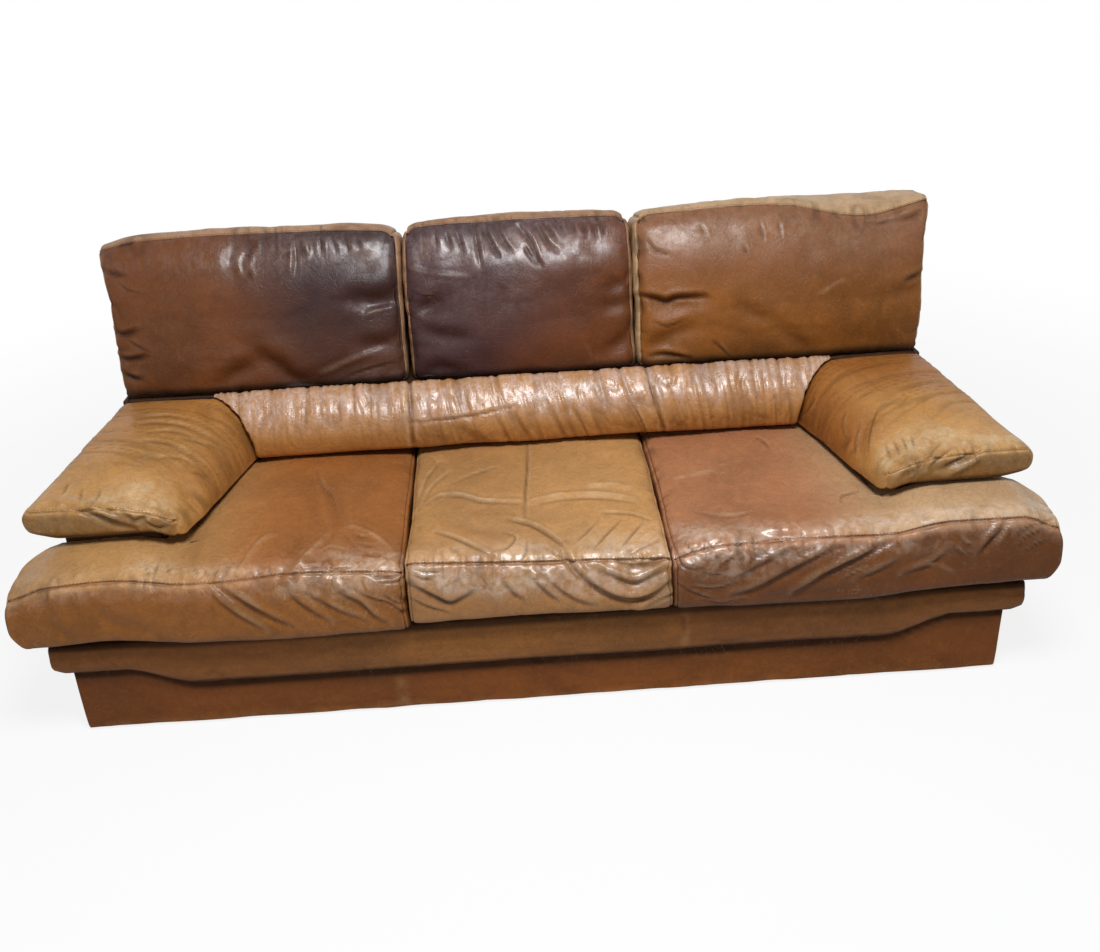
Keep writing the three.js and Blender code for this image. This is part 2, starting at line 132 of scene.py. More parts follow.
# Closed surfaces of a box on a grid
class Block:
    """A box with rounded edges, as a grid of quads. `flat` is a point on the plain box, `point` one on the
    round box, and `place` runs from -1 to 1 along each axis."""

    def __init__(self, columns, rows, levels, radius):
        lists = [np.asarray(values, float) for values in (columns, rows, levels)]
        counts = [len(values) for values in lists]
        self.low = np.array([values[0] for values in lists])
        self.high = np.array([values[-1] for values in lists])
        cells, self.quads = box_quads(counts)
        self.flat = np.stack([lists[axis][cells[:, axis]] for axis in range(3)], -1)
        core = np.clip(self.flat, self.low + radius, self.high - radius)
        out = self.flat - core
        length = np.maximum(np.linalg.norm(out, axis=1, keepdims=True), 1e-9)
        self.point = core + out * (radius / length)
        self.place = 2 * (self.flat - self.low) / (self.high - self.low) - 1

    def from_edge(self, **sides):
        """How far each point lies from the edge where two sides meet, such as y=-1 and z=1."""
        distance = 0
        for axis, side in sides.items():
            index = "xyz".index(axis)
            distance = distance + np.abs(self.flat[:, index] - (self.high if side > 0 else self.low)[index])
        return distance


def box_quads(counts):
    strides = np.array([counts[1] * counts[2], counts[2], 1])
    quads = []
    for axis in range(3):
        u, v = (axis + 1) % 3, (axis + 2) % 3
        i, j = np.meshgrid(np.arange(counts[u] - 1), np.arange(counts[v] - 1), indexing="ij")
        for side in (0, counts[axis] - 1):
            corner = side * strides[axis] + i * strides[u] + j * strides[v]
            ring = [corner, corner + strides[u], corner + strides[u] + strides[v], corner + strides[v]]
            if side == 0:
                ring.reverse()
            quads.append(np.stack(ring, -1).reshape(-1, 4))
    used, flat = np.unique(np.concatenate(quads), return_inverse=True)
    return np.stack(np.unravel_index(used, counts), -1), flat.reshape(-1, 4)


EDGE_PLACES = (0.0, 0.1, 0.22, 0.36, 0.55, 0.76, 1.0)


def spread(low, high, step, radius=EDGE):
    """Places along one side of a block: close together on its round edges, and one step apart between."""
    edge = np.array(EDGE_PLACES) * radius
    count = max(2, round((high - low - 2 * radius) / step))
    middle = np.linspace(low + radius, high - radius, count + 1)[1:-1]
    return np.concatenate([low + edge, middle, (high - edge)[::-1]])


def normals_of(points, quads):
    across = points[quads[:, 2]] - points[quads[:, 0]]
    along = points[quads[:, 3]] - points[quads[:, 1]]
    face = np.cross(across, along)
    total = np.zeros_like(points)
    for corner in range(4):
        np.add.at(total, quads[:, corner], face)
    return total / np.maximum(np.linalg.norm(total, axis=1, keepdims=True), 1e-12)


# The photograph's camera, in the section frame
PHOTO_CENTRE = (550, 476)
PHOTO_WIDTH = 1100
EYE = np.array([-0.0283, -2.0315, 1.6654])
YAW, PITCH, ROLL = 0.0293, 0.4891, 0.0506
FOCAL_PIXELS = 1189.0877
SENSOR_WIDTH = 36


def camera_axes():
    forward = np.array([math.sin(YAW) * math.cos(PITCH), math.cos(YAW) * math.cos(PITCH), -math.sin(PITCH)])
    level = np.array([math.cos(YAW), -math.sin(YAW), 0])
    upright = np.cross(level, forward)
    right = level * math.cos(ROLL) - upright * math.sin(ROLL)
    up = level * math.sin(ROLL) + upright * math.cos(ROLL)
    return right, up, forward


def photo_pixels(points):
    right, up, forward = camera_axes()
    away = points - EYE
    depth = away @ forward
    x = PHOTO_CENTRE[0] + FOCAL_PIXELS * (away @ right) / depth
    y = PHOTO_CENTRE[1] - FOCAL_PIXELS * (away @ up) / depth
    return np.stack([x, y], -1)


# Folds. Each kind has its depth and half width in metres, how high its lip stands beside it as a share of
# the depth, how dark a painted shade it puts in its valley, and how pale a painted highlight, partly wear,
# it puts on its lip. A negative depth is a ridge, whose pale goes on the ridge itself. The lip's place and
# width are in half widths of the fold.
METRES_PER_PIXEL = 0.0021
LIP_PLACE, LIP_WIDTH = 1.9, 1.1
CREASE = (0.0036, 0.0030, 0.45, 0.80, 0.30)
DEEP = (0.0090, 0.0058, 0.50, 1.00, 0.20)
SOFT = (0.0090, 0.0160, 0.40, 0.30, 0.0)
SWAG = (0.0110, 0.0072, 0.85, 0.60, 0.30)
RIDGE = (-0.0036, 0.0046, 0.5, 0.0, 0.45)
NICK = (0.0090, 0.0070, 0.25, 0.8, 0.0)


def smooth_line(points, cuts=7):
    """A smooth curve through the points."""
    points = np.asarray(points, float)
    if len(points) < 3:
        share = np.linspace(0, 1, cuts)[:, None]
        return points[0] + (points[-1] - points[0]) * share
    ends = np.vstack([2 * points[0] - points[1], points, 2 * points[-1] - points[-2]])
    pieces = []
    for a, b, c, d in zip(ends, ends[1:], ends[2:], ends[3:]):
        t = np.linspace(0, 1, cuts, endpoint=False)[:, None]
        bend = (2 * a - 5 * b + 4 * c - d) * t**2 + (3 * b - a - 3 * c + d) * t**3
        pieces.append(0.5 * (2 * b + (c - a) * t + bend))
    return np.vstack(pieces + [points[-1:]])


def beside_line(pixels, line):
    """Each pixel's signed distance from a line, and how far along it lies, from 0 to 1."""
    starts, ends = line[:-1], line[1:]
    spans = ends - starts
    lengths = np.maximum(np.linalg.norm(spans, axis=1), 1e-9)
    before = np.concatenate([[0], np.cumsum(lengths)])
    best = np.full(len(pixels), np.inf)
    side = np.zeros(len(pixels))
    along = np.zeros(len(pixels))
    for start, span, length, done in zip(starts, spans, lengths, before):
        away = pixels - start
        share = np.clip(away @ span / length**2, 0, 1)
        gap = np.linalg.norm(away - share[:, None] * span, axis=1)
        nearer = gap < best
        best = np.where(nearer, gap, best)
        side = np.where(nearer, np.sign(span[0] * away[:, 1] - span[1] * away[:, 0]), side)
        along = np.where(nearer, (done + share * length) / before[-1], along)
    return best * side, along


def press_folds(surface, folds):
    """Presses folds, each (kind, size, points in pixels), into the surface that the camera sees."""
    pixels = photo_pixels(surface.points)
    normals = surface.normals()
    view = EYE - surface.points
    view /= np.linalg.norm(view, axis=1, keepdims=True)
    seen = smooth(0.02, 0.25, np.einsum("ij,ij->i", normals, view))
    move = np.zeros(len(pixels))
    for kind, size, points in folds:
        depth, half_width, lip, dark, pale = kind
        reach = half_width / METRES_PER_PIXEL * (0.6 + 0.4 * size)
        line = smooth_line(points)
        near = (pixels > line.min(0) - 4 * reach).all(1) & (pixels < line.max(0) + 4 * reach).all(1)
        if not near.any():
            continue
        gap, along = beside_line(pixels[near], line)
        fade = np.sin(math.pi * np.clip(mix(0.06, 0.94, along), 0, 1)) ** 0.6 * seen[near]
        valley = close_to(gap, reach) * fade
        ridge = close_to(gap + LIP_PLACE * reach, LIP_WIDTH * reach) * fade
        move[near] += depth * size * (lip * ridge - valley)
        # Painted shade in the fold's valley, and a paler lip: a painted highlight that is partly wear.
        surface.darken(dark * min(1, size) * valley, near)
        surface.lighten(pale * (ridge if depth > 0 else valley), near)
    surface.points += normals * move[:, None]


# The fields a finish reads: painted shade with the seams' dark lines, wear with painted highlights, tone,
# border, and gloss with painted sheen.
FIELDS = ("painted_shade_and_seams", "wear_and_painted_highlights", "tone", "border", "gloss_and_painted_sheen")


class Surface:
    """A closed skin of quads with the fields that its finish reads. `lines` are its rows of stitches."""

    def __init__(self, points, quads):
        self.points = points
        self.quads = quads
        self.fields = {name: np.zeros(len(points)) for name in FIELDS}
        self.lines = []

    def normals(self):
        return normals_of(self.points, self.quads)

    def push(self, distance):
        self.points = self.points + self.normals() * np.asarray(distance)[:, None]

    def raise_field(self, name, amount, where):
        self.fields[name][where] = np.maximum(self.fields[name][where], amount)

    # Painted shade in creases, fold valleys, gaps and under parts, and the dark line of seams: the finish
    # turns to its deep colour there.
    def darken(self, amount, where=slice(None)):
        self.raise_field("painted_shade_and_seams", amount, where)

    # Real wear, and painted highlights on fold lips, welts and sheen spots: the finish turns to its pale
    # colour there.
    def lighten(self, amount, where=slice(None)):
        self.raise_field("wear_and_painted_highlights", amount, where)

    def set(self, name, values):
        self.fields[name] = np.clip(np.asarray(values) + np.zeros(len(self.points)), 0, 1)

    def mirror(self):
        self.points = self.points * [-1, 1, 1]
        self.quads = self.quads[:, ::-1]

    def sew(self, distance, welt=WELT_HEIGHT, depth=SEAM_DEPTH, dark=0.5):
        """A seam groove along an edge, with the folded leather standing up a little beside it."""
        groove = close_to(distance, SEAM_WIDTH)
        lip = close_to(distance - WELT_PLACE, WELT_WIDTH)
        self.push(welt * lip - depth * groove)
        self.darken(dark * groove)
        # The groove's dark line is the seam's own; the paler lip beside it is a painted highlight on the
        # welt, partly wear.
        self.lighten(0.5 * dark * lip)

    def gather(self, along, away, pitch, reach, depth, seed):
        """Irregular creases that start at a seam and die out away from it."""
        place = stacked(along, away, 0.0)
        lines = creased(place, (pitch, reach * 1.3, 1), seed, 0.3)
        length = reach * (0.75 + 0.5 * noise(stacked(along, 0.0, 0.0), 2.7 * pitch, seed + 1))
        strength = 0.7 + 0.5 * noise(stacked(along, 0.0, 0.5), 4.1 * pitch, seed + 2)
        lines = lines * close_to(away, length) * np.clip(strength, 0.1, 1)
        self.push(depth * (0.35 - lines) * close_to(away, reach))
        # Painted shade in the creases.
        self.darken(0.6 * lines)

    def crumple(self, size, depth, seed, where=1.0, dark=0.3):
        """Fine wrinkles all over a region."""
        lines = creased(self.points, size, seed) * where
        self.push(-depth * lines)
        # Painted shade in the wrinkles.
        self.darken(dark * lines)

    def dimple(self, size, depth, seed, dark=0.18):
        """Soft hollows that wander over a surface."""
        hollows = creased(self.points, size, seed, 0.35)
        self.push(-depth * hollows)
        # Painted shade in the hollows.
        self.darken(dark * hollows)

    def unevenness(self, seed, depth=0.0028):
        big = noise(self.points, 0.13, seed)
        small = noise(self.points, 0.045, seed + 1)
        self.push(depth * big + 0.35 * depth * small)


def make_piece(name, surface, material, nodes):
    """The finished piece, in the frame's place. It stands for its CAD nodes."""
    mesh = bpy.data.meshes.new(name)
    mesh.from_pydata((surface.points + [0, FRONT_SEAM, 0]).tolist(), [], surface.quads.tolist())
    mesh.polygons.foreach_set("use_smooth", np.ones(len(mesh.polygons), bool))
    for field, values in surface.fields.items():
        mesh.attributes.new(field, "FLOAT", "POINT").data.foreach_set("value", values.astype(np.float32))
    mesh.materials.append(material)
    piece = bpy.data.objects.new(name, mesh)
    bpy.context.scene.collection.objects.link(piece)
    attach(piece, "root")
    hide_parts(*nodes)


def paint_sheen_spots(surface, spots):
    """Spots of painted sheen, each (x, y, half width, half height, strength) in the photograph's pixels.
    They raise the gloss and the painted sheen, and paint a paler highlight.
    """
    pixels = photo_pixels(surface.points)
    total = np.zeros(len(pixels))
    for x, y, half_width, half_height, strength in spots:
        away = ((pixels - [x, y]) / [half_width, half_height]) ** 2
        total += strength * np.exp(-away.sum(1))
    surface.set("gloss_and_painted_sheen", surface.fields["gloss_and_painted_sheen"] + total)
    surface.lighten(np.clip(0.4 * total, 0, 0.4))


# Spots of painted sheen in the photograph, in its pixels
LEFT_SEAT_SHINE = [
    (154, 567, 22, 8, 0.9), (196, 572, 18, 6, 0.5), (230, 571, 20, 6, 0.6), (262, 571, 18, 5, 0.6),
    (323, 574, 38, 7, 0.8), (385, 566, 24, 12, 1.0), (350, 560, 30, 12, 0.5), (330, 590, 50, 10, 0.5),
]
CENTRE_SEAT_SHINE = [
    (425, 570, 16, 7, 0.8), (448, 583, 30, 10, 1.0), (497, 585, 26, 11, 1.0), (540, 579, 20, 8, 1.0),
    (601, 574, 32, 13, 1.0), (645, 554, 24, 9, 1.0), (612, 547, 30, 12, 0.7), (527, 552, 24, 9, 0.8),
    (655, 540, 16, 14, 0.6), (580, 590, 40, 8, 0.5), (650, 580, 22, 8, 0.5), (470, 550, 40, 12, 0.3),
]
RIGHT_SEAT_SHINE = [
    (697, 534, 26, 11, 1.0), (733, 536, 24, 9, 0.9), (768, 531, 24, 8, 0.7), (800, 534, 24, 8, 0.6),
    (870, 522, 24, 8, 1.0), (905, 518, 22, 8, 1.0), (940, 514, 22, 7, 0.8), (974, 511, 22, 8, 1.0),
    (1008, 510, 20, 9, 1.0), (1040, 510, 16, 9, 0.8), (840, 528, 20, 7, 0.7), (697, 553, 28, 10, 0.8),
    (760, 555, 50, 9, 0.5), (735, 572, 34, 8, 0.4), (880, 548, 60, 7, 0.3),
]
LEFT_ARM_SHINE = [
    (135, 498, 16, 9, 1.0), (158, 507, 14, 9, 0.9), (110, 502, 22, 6, 0.5), (147, 486, 26, 9, 0.5),
]
RIGHT_ARM_SHINE = [
    (909, 446, 22, 9, 1.0), (886, 460, 9, 9, 0.9), (951, 438, 20, 8, 0.8), (1000, 441, 26, 8, 0.7),
    (930, 430, 40, 9, 0.4),
]
LEFT_BACK_SHINE = [
    (237, 258, 9, 14, 0.9), (292, 255, 10, 16, 0.7), (320, 252, 30, 13, 0.6), (370, 253, 24, 14, 0.7),
    (373, 307, 22, 6, 0.7), (385, 375, 26, 7, 0.6), (375, 352, 26, 6, 0.4), (190, 262, 50, 9, 0.3),
]
CENTRE_BACK_SHINE = [
    (430, 250, 26, 14, 0.8), (470, 252, 26, 18, 0.6), (520, 246, 26, 18, 1.0), (574, 244, 30, 17, 0.9),
    (608, 240, 14, 12, 0.7), (495, 300, 50, 22, 0.25),
]
RIGHT_BACK_SHINE = [
    (689, 232, 36, 10, 0.6), (775, 229, 40, 12, 0.5), (840, 240, 30, 10, 0.3), (700, 246, 50, 10, 0.3),
]

# Folds in the photograph, in its pixels
LEFT_SEAT_FOLDS = [
    (SOFT, 0.7, [(323, 478), (332, 495), (336, 514), (332, 526)]),
    (SOFT, 0.5, [(308, 480), (311, 505), (321, 524), (328, 531)]),
    (CREASE, 0.7, [(317, 471), (322, 485), (332, 495), (337, 512)]),
    (RIDGE, 1.0, [(330, 531), (315, 547), (300, 562), (289, 575)]),
    (RIDGE, 0.7, [(340, 531), (355, 526), (374, 535), (388, 545), (396, 555)]),
    (RIDGE, 0.9, [(225, 555), (230, 565), (236, 576)]),
    (RIDGE, 1.0, [(238, 572), (250, 553), (265, 537), (275, 534)]),
    (SOFT, 0.5, [(296, 532), (291, 553), (287, 566)]),
    (SOFT, 0.4, [(193, 536), (191, 557), (189, 570)]),
    (CREASE, 0.7, [(356, 534), (361, 537), (366, 537)]),
    (CREASE, 0.7, [(361, 544), (368, 546), (374, 545)]),
    (CREASE, 0.5, [(345, 535), (357, 549), (372, 556), (385, 553)]),
    (CREASE, 0.4, [(318, 555), (330, 548), (345, 551), (360, 560)]),
    (CREASE, 1.3, [(367, 573), (378, 577), (391, 577), (404, 572)]),
    (CREASE, 1.2, [(380, 583), (395, 582), (407, 576)]),
    (CREASE, 0.8, [(303, 568), (318, 566), (336, 570), (352, 566)]),
    (SWAG, 0.45, [(204, 589), (219, 604), (239, 618), (262, 631)]),
    (SWAG, 0.60, [(216, 587), (235, 599), (254, 610), (273, 620), (292, 628)]),
    (SWAG, 0.50, [(284, 587), (292, 599), (307, 610), (327, 622)]),
    (SWAG, 0.55, [(328, 585), (344, 597), (359, 604), (374, 618), (386, 624)]),
    (SWAG, 0.40, [(298, 593), (319, 602), (338, 612), (365, 622)]),
    (CREASE, 0.8, [(384, 595), (395, 602), (405, 604)]),
    (CREASE, 0.9, [(352, 588), (370, 598), (388, 603), (404, 613)]),
    (NICK, 0.5, [(399, 598), (408, 602)]),
    (NICK, 0.5, [(398, 612), (408, 612)]),
    (CREASE, 0.8, [(194, 568), (197, 574)]),
    (CREASE, 0.8, [(205, 570), (207, 577)]),
    (CREASE, 0.9, [(218, 568), (214, 577)]),
    (CREASE, 0.8, [(146, 565), (149, 577)]),
    (CREASE, 0.8, [(158, 563), (155, 576)]),
    (CREASE, 0.8, [(167, 565), (170, 575)]),
    (CREASE, 0.7, [(255, 568), (262, 577)]),
    (CREASE, 0.7, [(268, 566), (271, 576)]),
    (SOFT, 0.4, [(85, 600), (110, 622), (150, 632)]),
    (SOFT, 0.4, [(40, 600), (52, 625), (74, 640)]),
]
CENTRE_SEAT_FOLDS = [
    (CREASE, 0.9, [(527, 444), (527, 468), (525, 496), (525, 518)]),
    (CREASE, 0.7, [(427, 504), (440, 497), (461, 497), (480, 502), (500, 503), (521, 504)]),
    (RIDGE, 0.9, [(430, 501), (441, 494), (461, 494), (480, 499), (500, 500), (522, 500)]),
    (RIDGE, 1.2, [(530, 500), (555, 495), (583, 493), (608, 494), (636, 498)]),
    (CREASE, 0.6, [(540, 504), (570, 499), (605, 499), (634, 503)]),
    (RIDGE, 0.8, [(588, 485), (611, 484), (630, 487)]),
    (CREASE, 0.5, [(423, 505), (432, 488), (449, 473)]),
    (CREASE, 0.5, [(420, 497), (428, 478), (440, 463)]),
    (CREASE, 0.5, [(451, 485), (474, 475), (497, 468)]),
    (CREASE, 1.4, [(508, 520), (530, 525), (547, 534), (559, 543), (565, 553)]),
    (CREASE, 1.0, [(436, 532), (459, 540), (480, 550), (498, 558)]),
    (SWAG, 0.95, [(563, 552), (570, 565), (581, 578), (598, 590), (617, 599), (638, 601), (658, 596),
                  (673, 586)]),
    (SWAG, 0.8, [(594, 569), (613, 578), (634, 584), (651, 578), (668, 569)]),
    (DEEP, 0.9, [(618, 561), (640, 564), (665, 559)]),
    (CREASE, 0.8, [(643, 522), (630, 537), (619, 550)]),
    (CREASE, 0.8, [(621, 520), (606, 535), (593, 550)]),
    (CREASE, 0.6, [(600, 519), (586, 533), (575, 543)]),
    (CREASE, 0.7, [(602, 513), (630, 514), (649, 520)]),
    (CREASE, 0.8, [(660, 540), (640, 549), (625, 557)]),
    (RIDGE, 0.7, [(652, 530), (637, 543), (622, 552)]),
    (CREASE, 0.8, [(527, 541), (526, 552), (519, 562)]),
    (CREASE, 0.7, [(540, 545), (560, 556), (575, 563)]),
    (CREASE, 0.7, [(500, 530), (515, 536), (507, 548), (490, 551)]),
    (DEEP, 0.85, [(408, 584), (423, 592), (435, 598), (450, 604), (463, 599), (476, 591)]),
    (CREASE, 1.1, [(416, 570), (428, 572), (441, 571)]),
    (CREASE, 1.1, [(414, 576), (425, 579), (437, 577)]),
    (SWAG, 0.5, [(499, 579), (512, 594), (523, 601)]),
    (SWAG, 0.6, [(527, 575), (544, 592), (559, 603)]),
    (SWAG, 0.5, [(540, 578), (560, 592), (578, 602), (596, 607)]),
    (SWAG, 0.7, [(675, 578), (655, 594), (630, 605)]),
    (CREASE, 1.0, [(674, 594), (658, 600), (644, 607)]),
    (CREASE, 0.9, [(410, 598), (428, 607), (450, 613)]),
    (CREASE, 0.8, [(478, 575), (486, 584), (480, 592)]),
    (NICK, 0.35, [(417, 508), (420, 509)]),
    (NICK, 0.35, [(417, 527), (420, 528)]),
    (SOFT, 0.5, [(450, 520), (480, 530), (520, 533)]),
]
RIGHT_SEAT_FOLDS = [
    (RIDGE, 0.6, [(675, 478), (700, 473), (716, 470), (728, 475)]),
    (SOFT, 0.8, [(700, 510), (733, 522), (756, 532), (790, 537), (815, 532)]),
    (CREASE, 0.5, [(695, 511), (733, 516), (756, 513)]),
    (CREASE, 0.7, [(756, 438), (764, 442), (769, 448)]),
    (CREASE, 0.7, [(841, 503), (842, 496), (859, 491)]),
    (CREASE, 1.2, [(675, 546), (680, 562), (690, 569), (705, 569)]),
    (CREASE, 0.9, [(682, 538), (692, 551), (700, 556)]),
    (CREASE, 0.9, [(712, 562), (722, 553)]),
    (CREASE, 0.9, [(719, 569), (730, 560), (741, 554)]),
    (CREASE, 0.9, [(748, 564), (758, 556), (770, 553)]),
    (CREASE, 0.8, [(700, 570), (712, 575), (725, 572)]),
    (SWAG, 0.55, [(740, 579), (756, 569), (776, 559), (794, 549)]),
    (SWAG, 0.75, [(733, 597), (758, 589), (791, 572), (816, 559), (840, 546)]),
    (RIDGE, 0.9, [(800, 563), (820, 553), (841, 543)]),
    (SWAG, 0.9, [(796, 594), (824, 577), (848, 565), (869, 554), (890, 541)]),
    (RIDGE, 1.0, [(850, 560), (870, 549), (889, 538)]),
    (SWAG, 0.8, [(980, 555), (991, 543), (1001, 532), (1007, 521)]),
    (RIDGE, 1.0, [(986, 553), (997, 542), (1007, 528)]),
    (RIDGE, 0.8, [(923, 563), (940, 566), (954, 571)]),
    (CREASE, 0.9, [(952, 545), (964, 555), (974, 552)]),
    (CREASE, 0.8, [(958, 536), (968, 545), (980, 546)]),
    (CREASE, 0.9, [(1017, 546), (1032, 534), (1052, 529)]),
    (CREASE, 0.9, [(1015, 536), (1030, 526), (1052, 523)]),
    (CREASE, 0.9, [(1025, 552), (1038, 544), (1050, 540)]),
    (CREASE, 0.9, [(1035, 520), (1046, 521), (1054, 518)]),
    (SWAG, 0.5, [(859, 580), (879, 572), (898, 562)]),
    (SWAG, 0.5, [(905, 575), (930, 566), (950, 552)]),
    (CREASE, 0.9, [(678, 584), (696, 594), (716, 600)]),
    (CREASE, 0.8, [(690, 587), (715, 589), (735, 583)]),
    (CREASE, 0.7, [(700, 600), (722, 603), (745, 599)]),
    (SOFT, 0.6, [(760, 600), (800, 596), (850, 590)]),
    (CREASE, 0.6, [(842, 580), (858, 572), (872, 566)]),
]
LEFT_ARM_FOLDS = [
    (CREASE, 0.8, [(133, 425), (156, 423), (182, 426), (206, 436)]),
    (CREASE, 0.8, [(141, 441), (166, 443), (186, 451)]),
    (CREASE, 0.7, [(181, 438), (209, 445), (219, 449)]),
    (CREASE, 0.6, [(138, 418), (169, 416), (197, 421)]),
    (CREASE, 0.6, [(148, 458), (176, 458), (191, 463)]),
    (CREASE, 0.6, [(150, 432), (176, 432), (200, 441)]),
    (CREASE, 0.5, [(170, 448), (190, 455), (204, 465)]),
    (SOFT, 0.6, [(176, 474), (186, 491), (188, 508)]),
    (SOFT, 0.5, [(192, 487), (196, 505), (189, 522)]),
    (SWAG, 0.9, [(66, 506), (90, 514), (116, 524), (134, 529)]),
    (SWAG, 0.6, [(96, 505), (112, 513), (128, 521)]),
    (DEEP, 0.7, [(118, 509), (130, 518), (134, 521), (143, 518), (148, 514)]),
    (CREASE, 1.2, [(146, 523), (158, 528), (170, 525)]),
    (CREASE, 1.0, [(160, 517), (170, 522), (180, 519)]),
    (CREASE, 0.8, [(68, 484), (63, 494)]),
    (CREASE, 0.8, [(82, 489), (80, 502)]),
    (CREASE, 0.8, [(100, 490), (97, 501)]),
    (SOFT, 0.7, [(201, 401), (207, 412), (214, 420)]),
]
RIGHT_ARM_FOLDS = [
    (SOFT, 0.6, [(873, 410), (865, 426), (860, 445), (862, 458)]),
    (CREASE, 0.8, [(886, 403), (876, 412), (870, 432), (868, 452)]),
    (CREASE, 0.7, [(860, 422), (854, 442), (854, 454)]),
    (CREASE, 0.6, [(846, 410), (842, 425), (845, 440)]),
    (SWAG, 0.8, [(938, 442), (930, 451), (921, 467)]),
    (CREASE, 1.2, [(950, 449), (938, 459), (928, 468)]),
    (SWAG, 0.9, [(978, 450), (962, 459), (943, 469)]),
    (RIDGE, 0.8, [(976, 448), (960, 457), (942, 466)]),
    (CREASE, 0.8, [(905, 462), (913, 470), (906, 476)]),
    (CREASE, 0.8, [(814, 399), (807, 410), (803, 414)]),
    (CREASE, 0.9, [(886, 446), (890, 458)]),
    (CREASE, 0.9, [(894, 441), (899, 453)]),
    (CREASE, 0.9, [(902, 438), (907, 449)]),
    (CREASE, 0.9, [(911, 436), (914, 446)]),
]
BOLSTER_FOLDS = [
    (CREASE, 1.0, [(410, 423), (440, 420), (475, 415), (500, 409), (515, 406)]),
    (SOFT, 0.5, [(455, 428), (475, 440), (490, 448)]),
    (CREASE, 0.8, [(628, 398), (640, 418), (648, 438)]),
    (CREASE, 0.9, [(650, 372), (668, 385), (676, 378)]),
]
LEFT_BACK_FOLDS = [
    (SOFT, 0.8, [(246, 243), (234, 251), (231, 264), (236, 276)]),
    (RIDGE, 1.6, [(247, 244), (240, 252), (237, 264), (240, 275)]),
    (CREASE, 1.1, [(255, 243), (250, 252), (247, 266), (252, 280)]),
    (RIDGE, 1.3, [(290, 243), (291, 258), (290, 274)]),
    (CREASE, 1.0, [(295, 242), (297, 257), (295, 272)]),
    (RIDGE, 1.1, [(306, 241), (308, 253)]),
    (CREASE, 1.0, [(300, 240), (302, 256)]),
    (CREASE, 1.0, [(320, 238), (322, 252)]),
    (CREASE, 1.0, [(332, 237), (336, 250)]),
    (CREASE, 1.0, [(344, 237), (349, 251)]),
    (CREASE, 1.0, [(356, 238), (360, 248)]),
    (SOFT, 1.4, [(352, 300), (373, 302), (397, 296)]),
    (RIDGE, 1.2, [(365, 317), (373, 311), (397, 306)]),
    (SOFT, 0.9, [(360, 346), (384, 343), (401, 336)]),
    (SOFT, 1.5, [(252, 349), (277, 368), (294, 381), (316, 384)]),
    (SOFT, 1.2, [(222, 382), (240, 372), (256, 366)]),
    (RIDGE, 1.2, [(320, 374), (352, 360), (384, 349)]),
    (CREASE, 1.0, [(340, 380), (365, 370), (395, 362)]),
    (DEEP, 0.8, [(104, 271), (113, 274), (125, 276)]),
    (DEEP, 1.1, [(115, 333), (124, 335), (136, 331)]),
    (DEEP, 1.0, [(119, 358), (130, 360), (146, 357)]),
    (DEEP, 0.9, [(124, 374), (132, 378), (141, 380)]),
    (CREASE, 0.9, [(128, 340), (142, 349), (152, 352)]),
    (CREASE, 0.8, [(118, 282), (128, 290), (140, 292)]),
]
CENTRE_BACK_FOLDS = [
    (CREASE, 1.2, [(435, 235), (437, 246)]),
    (CREASE, 1.3, [(447, 233), (450, 247)]),
    (CREASE, 1.3, [(458, 233), (463, 250)]),
    (CREASE, 1.6, [(475, 227), (478, 249), (481, 266)]),
    (CREASE, 1.6, [(484, 227), (492, 245), (499, 256)]),
    (CREASE, 1.3, [(497, 227), (503, 240), (512, 252)]),
    (CREASE, 1.8, [(518, 226), (530, 240), (537, 258), (542, 266)]),
    (CREASE, 1.4, [(525, 247), (536, 264)]),
    (CREASE, 1.5, [(537, 225), (548, 243), (558, 251)]),
    (CREASE, 1.3, [(546, 224), (555, 238)]),
    (CREASE, 1.2, [(559, 222), (564, 234)]),
    (CREASE, 1.2, [(572, 222), (576, 234)]),
    (CREASE, 1.2, [(584, 222), (587, 234)]),
    (CREASE, 1.2, [(593, 221), (597, 237)]),
    (CREASE, 1.1, [(604, 221), (603, 234)]),
    (RIDGE, 0.7, [(405, 265), (427, 273), (468, 277)]),
    (SOFT, 1.2, [(418, 309), (432, 306), (444, 299)]),
    (SOFT, 0.8, [(420, 330), (440, 336), (470, 338)]),
    (SOFT, 1.0, [(631, 276), (620, 284), (604, 288)]),
    (SOFT, 1.0, [(631, 299), (615, 304), (602, 306)]),
    (SOFT, 1.1, [(632, 333), (620, 343), (606, 352)]),
    (RIDGE, 0.9, [(588, 346), (591, 358)]),
    (SOFT, 0.7, [(425, 374), (440, 368), (462, 372)]),
    (CREASE, 0.7, [(410, 290), (425, 296), (440, 293)]),
]
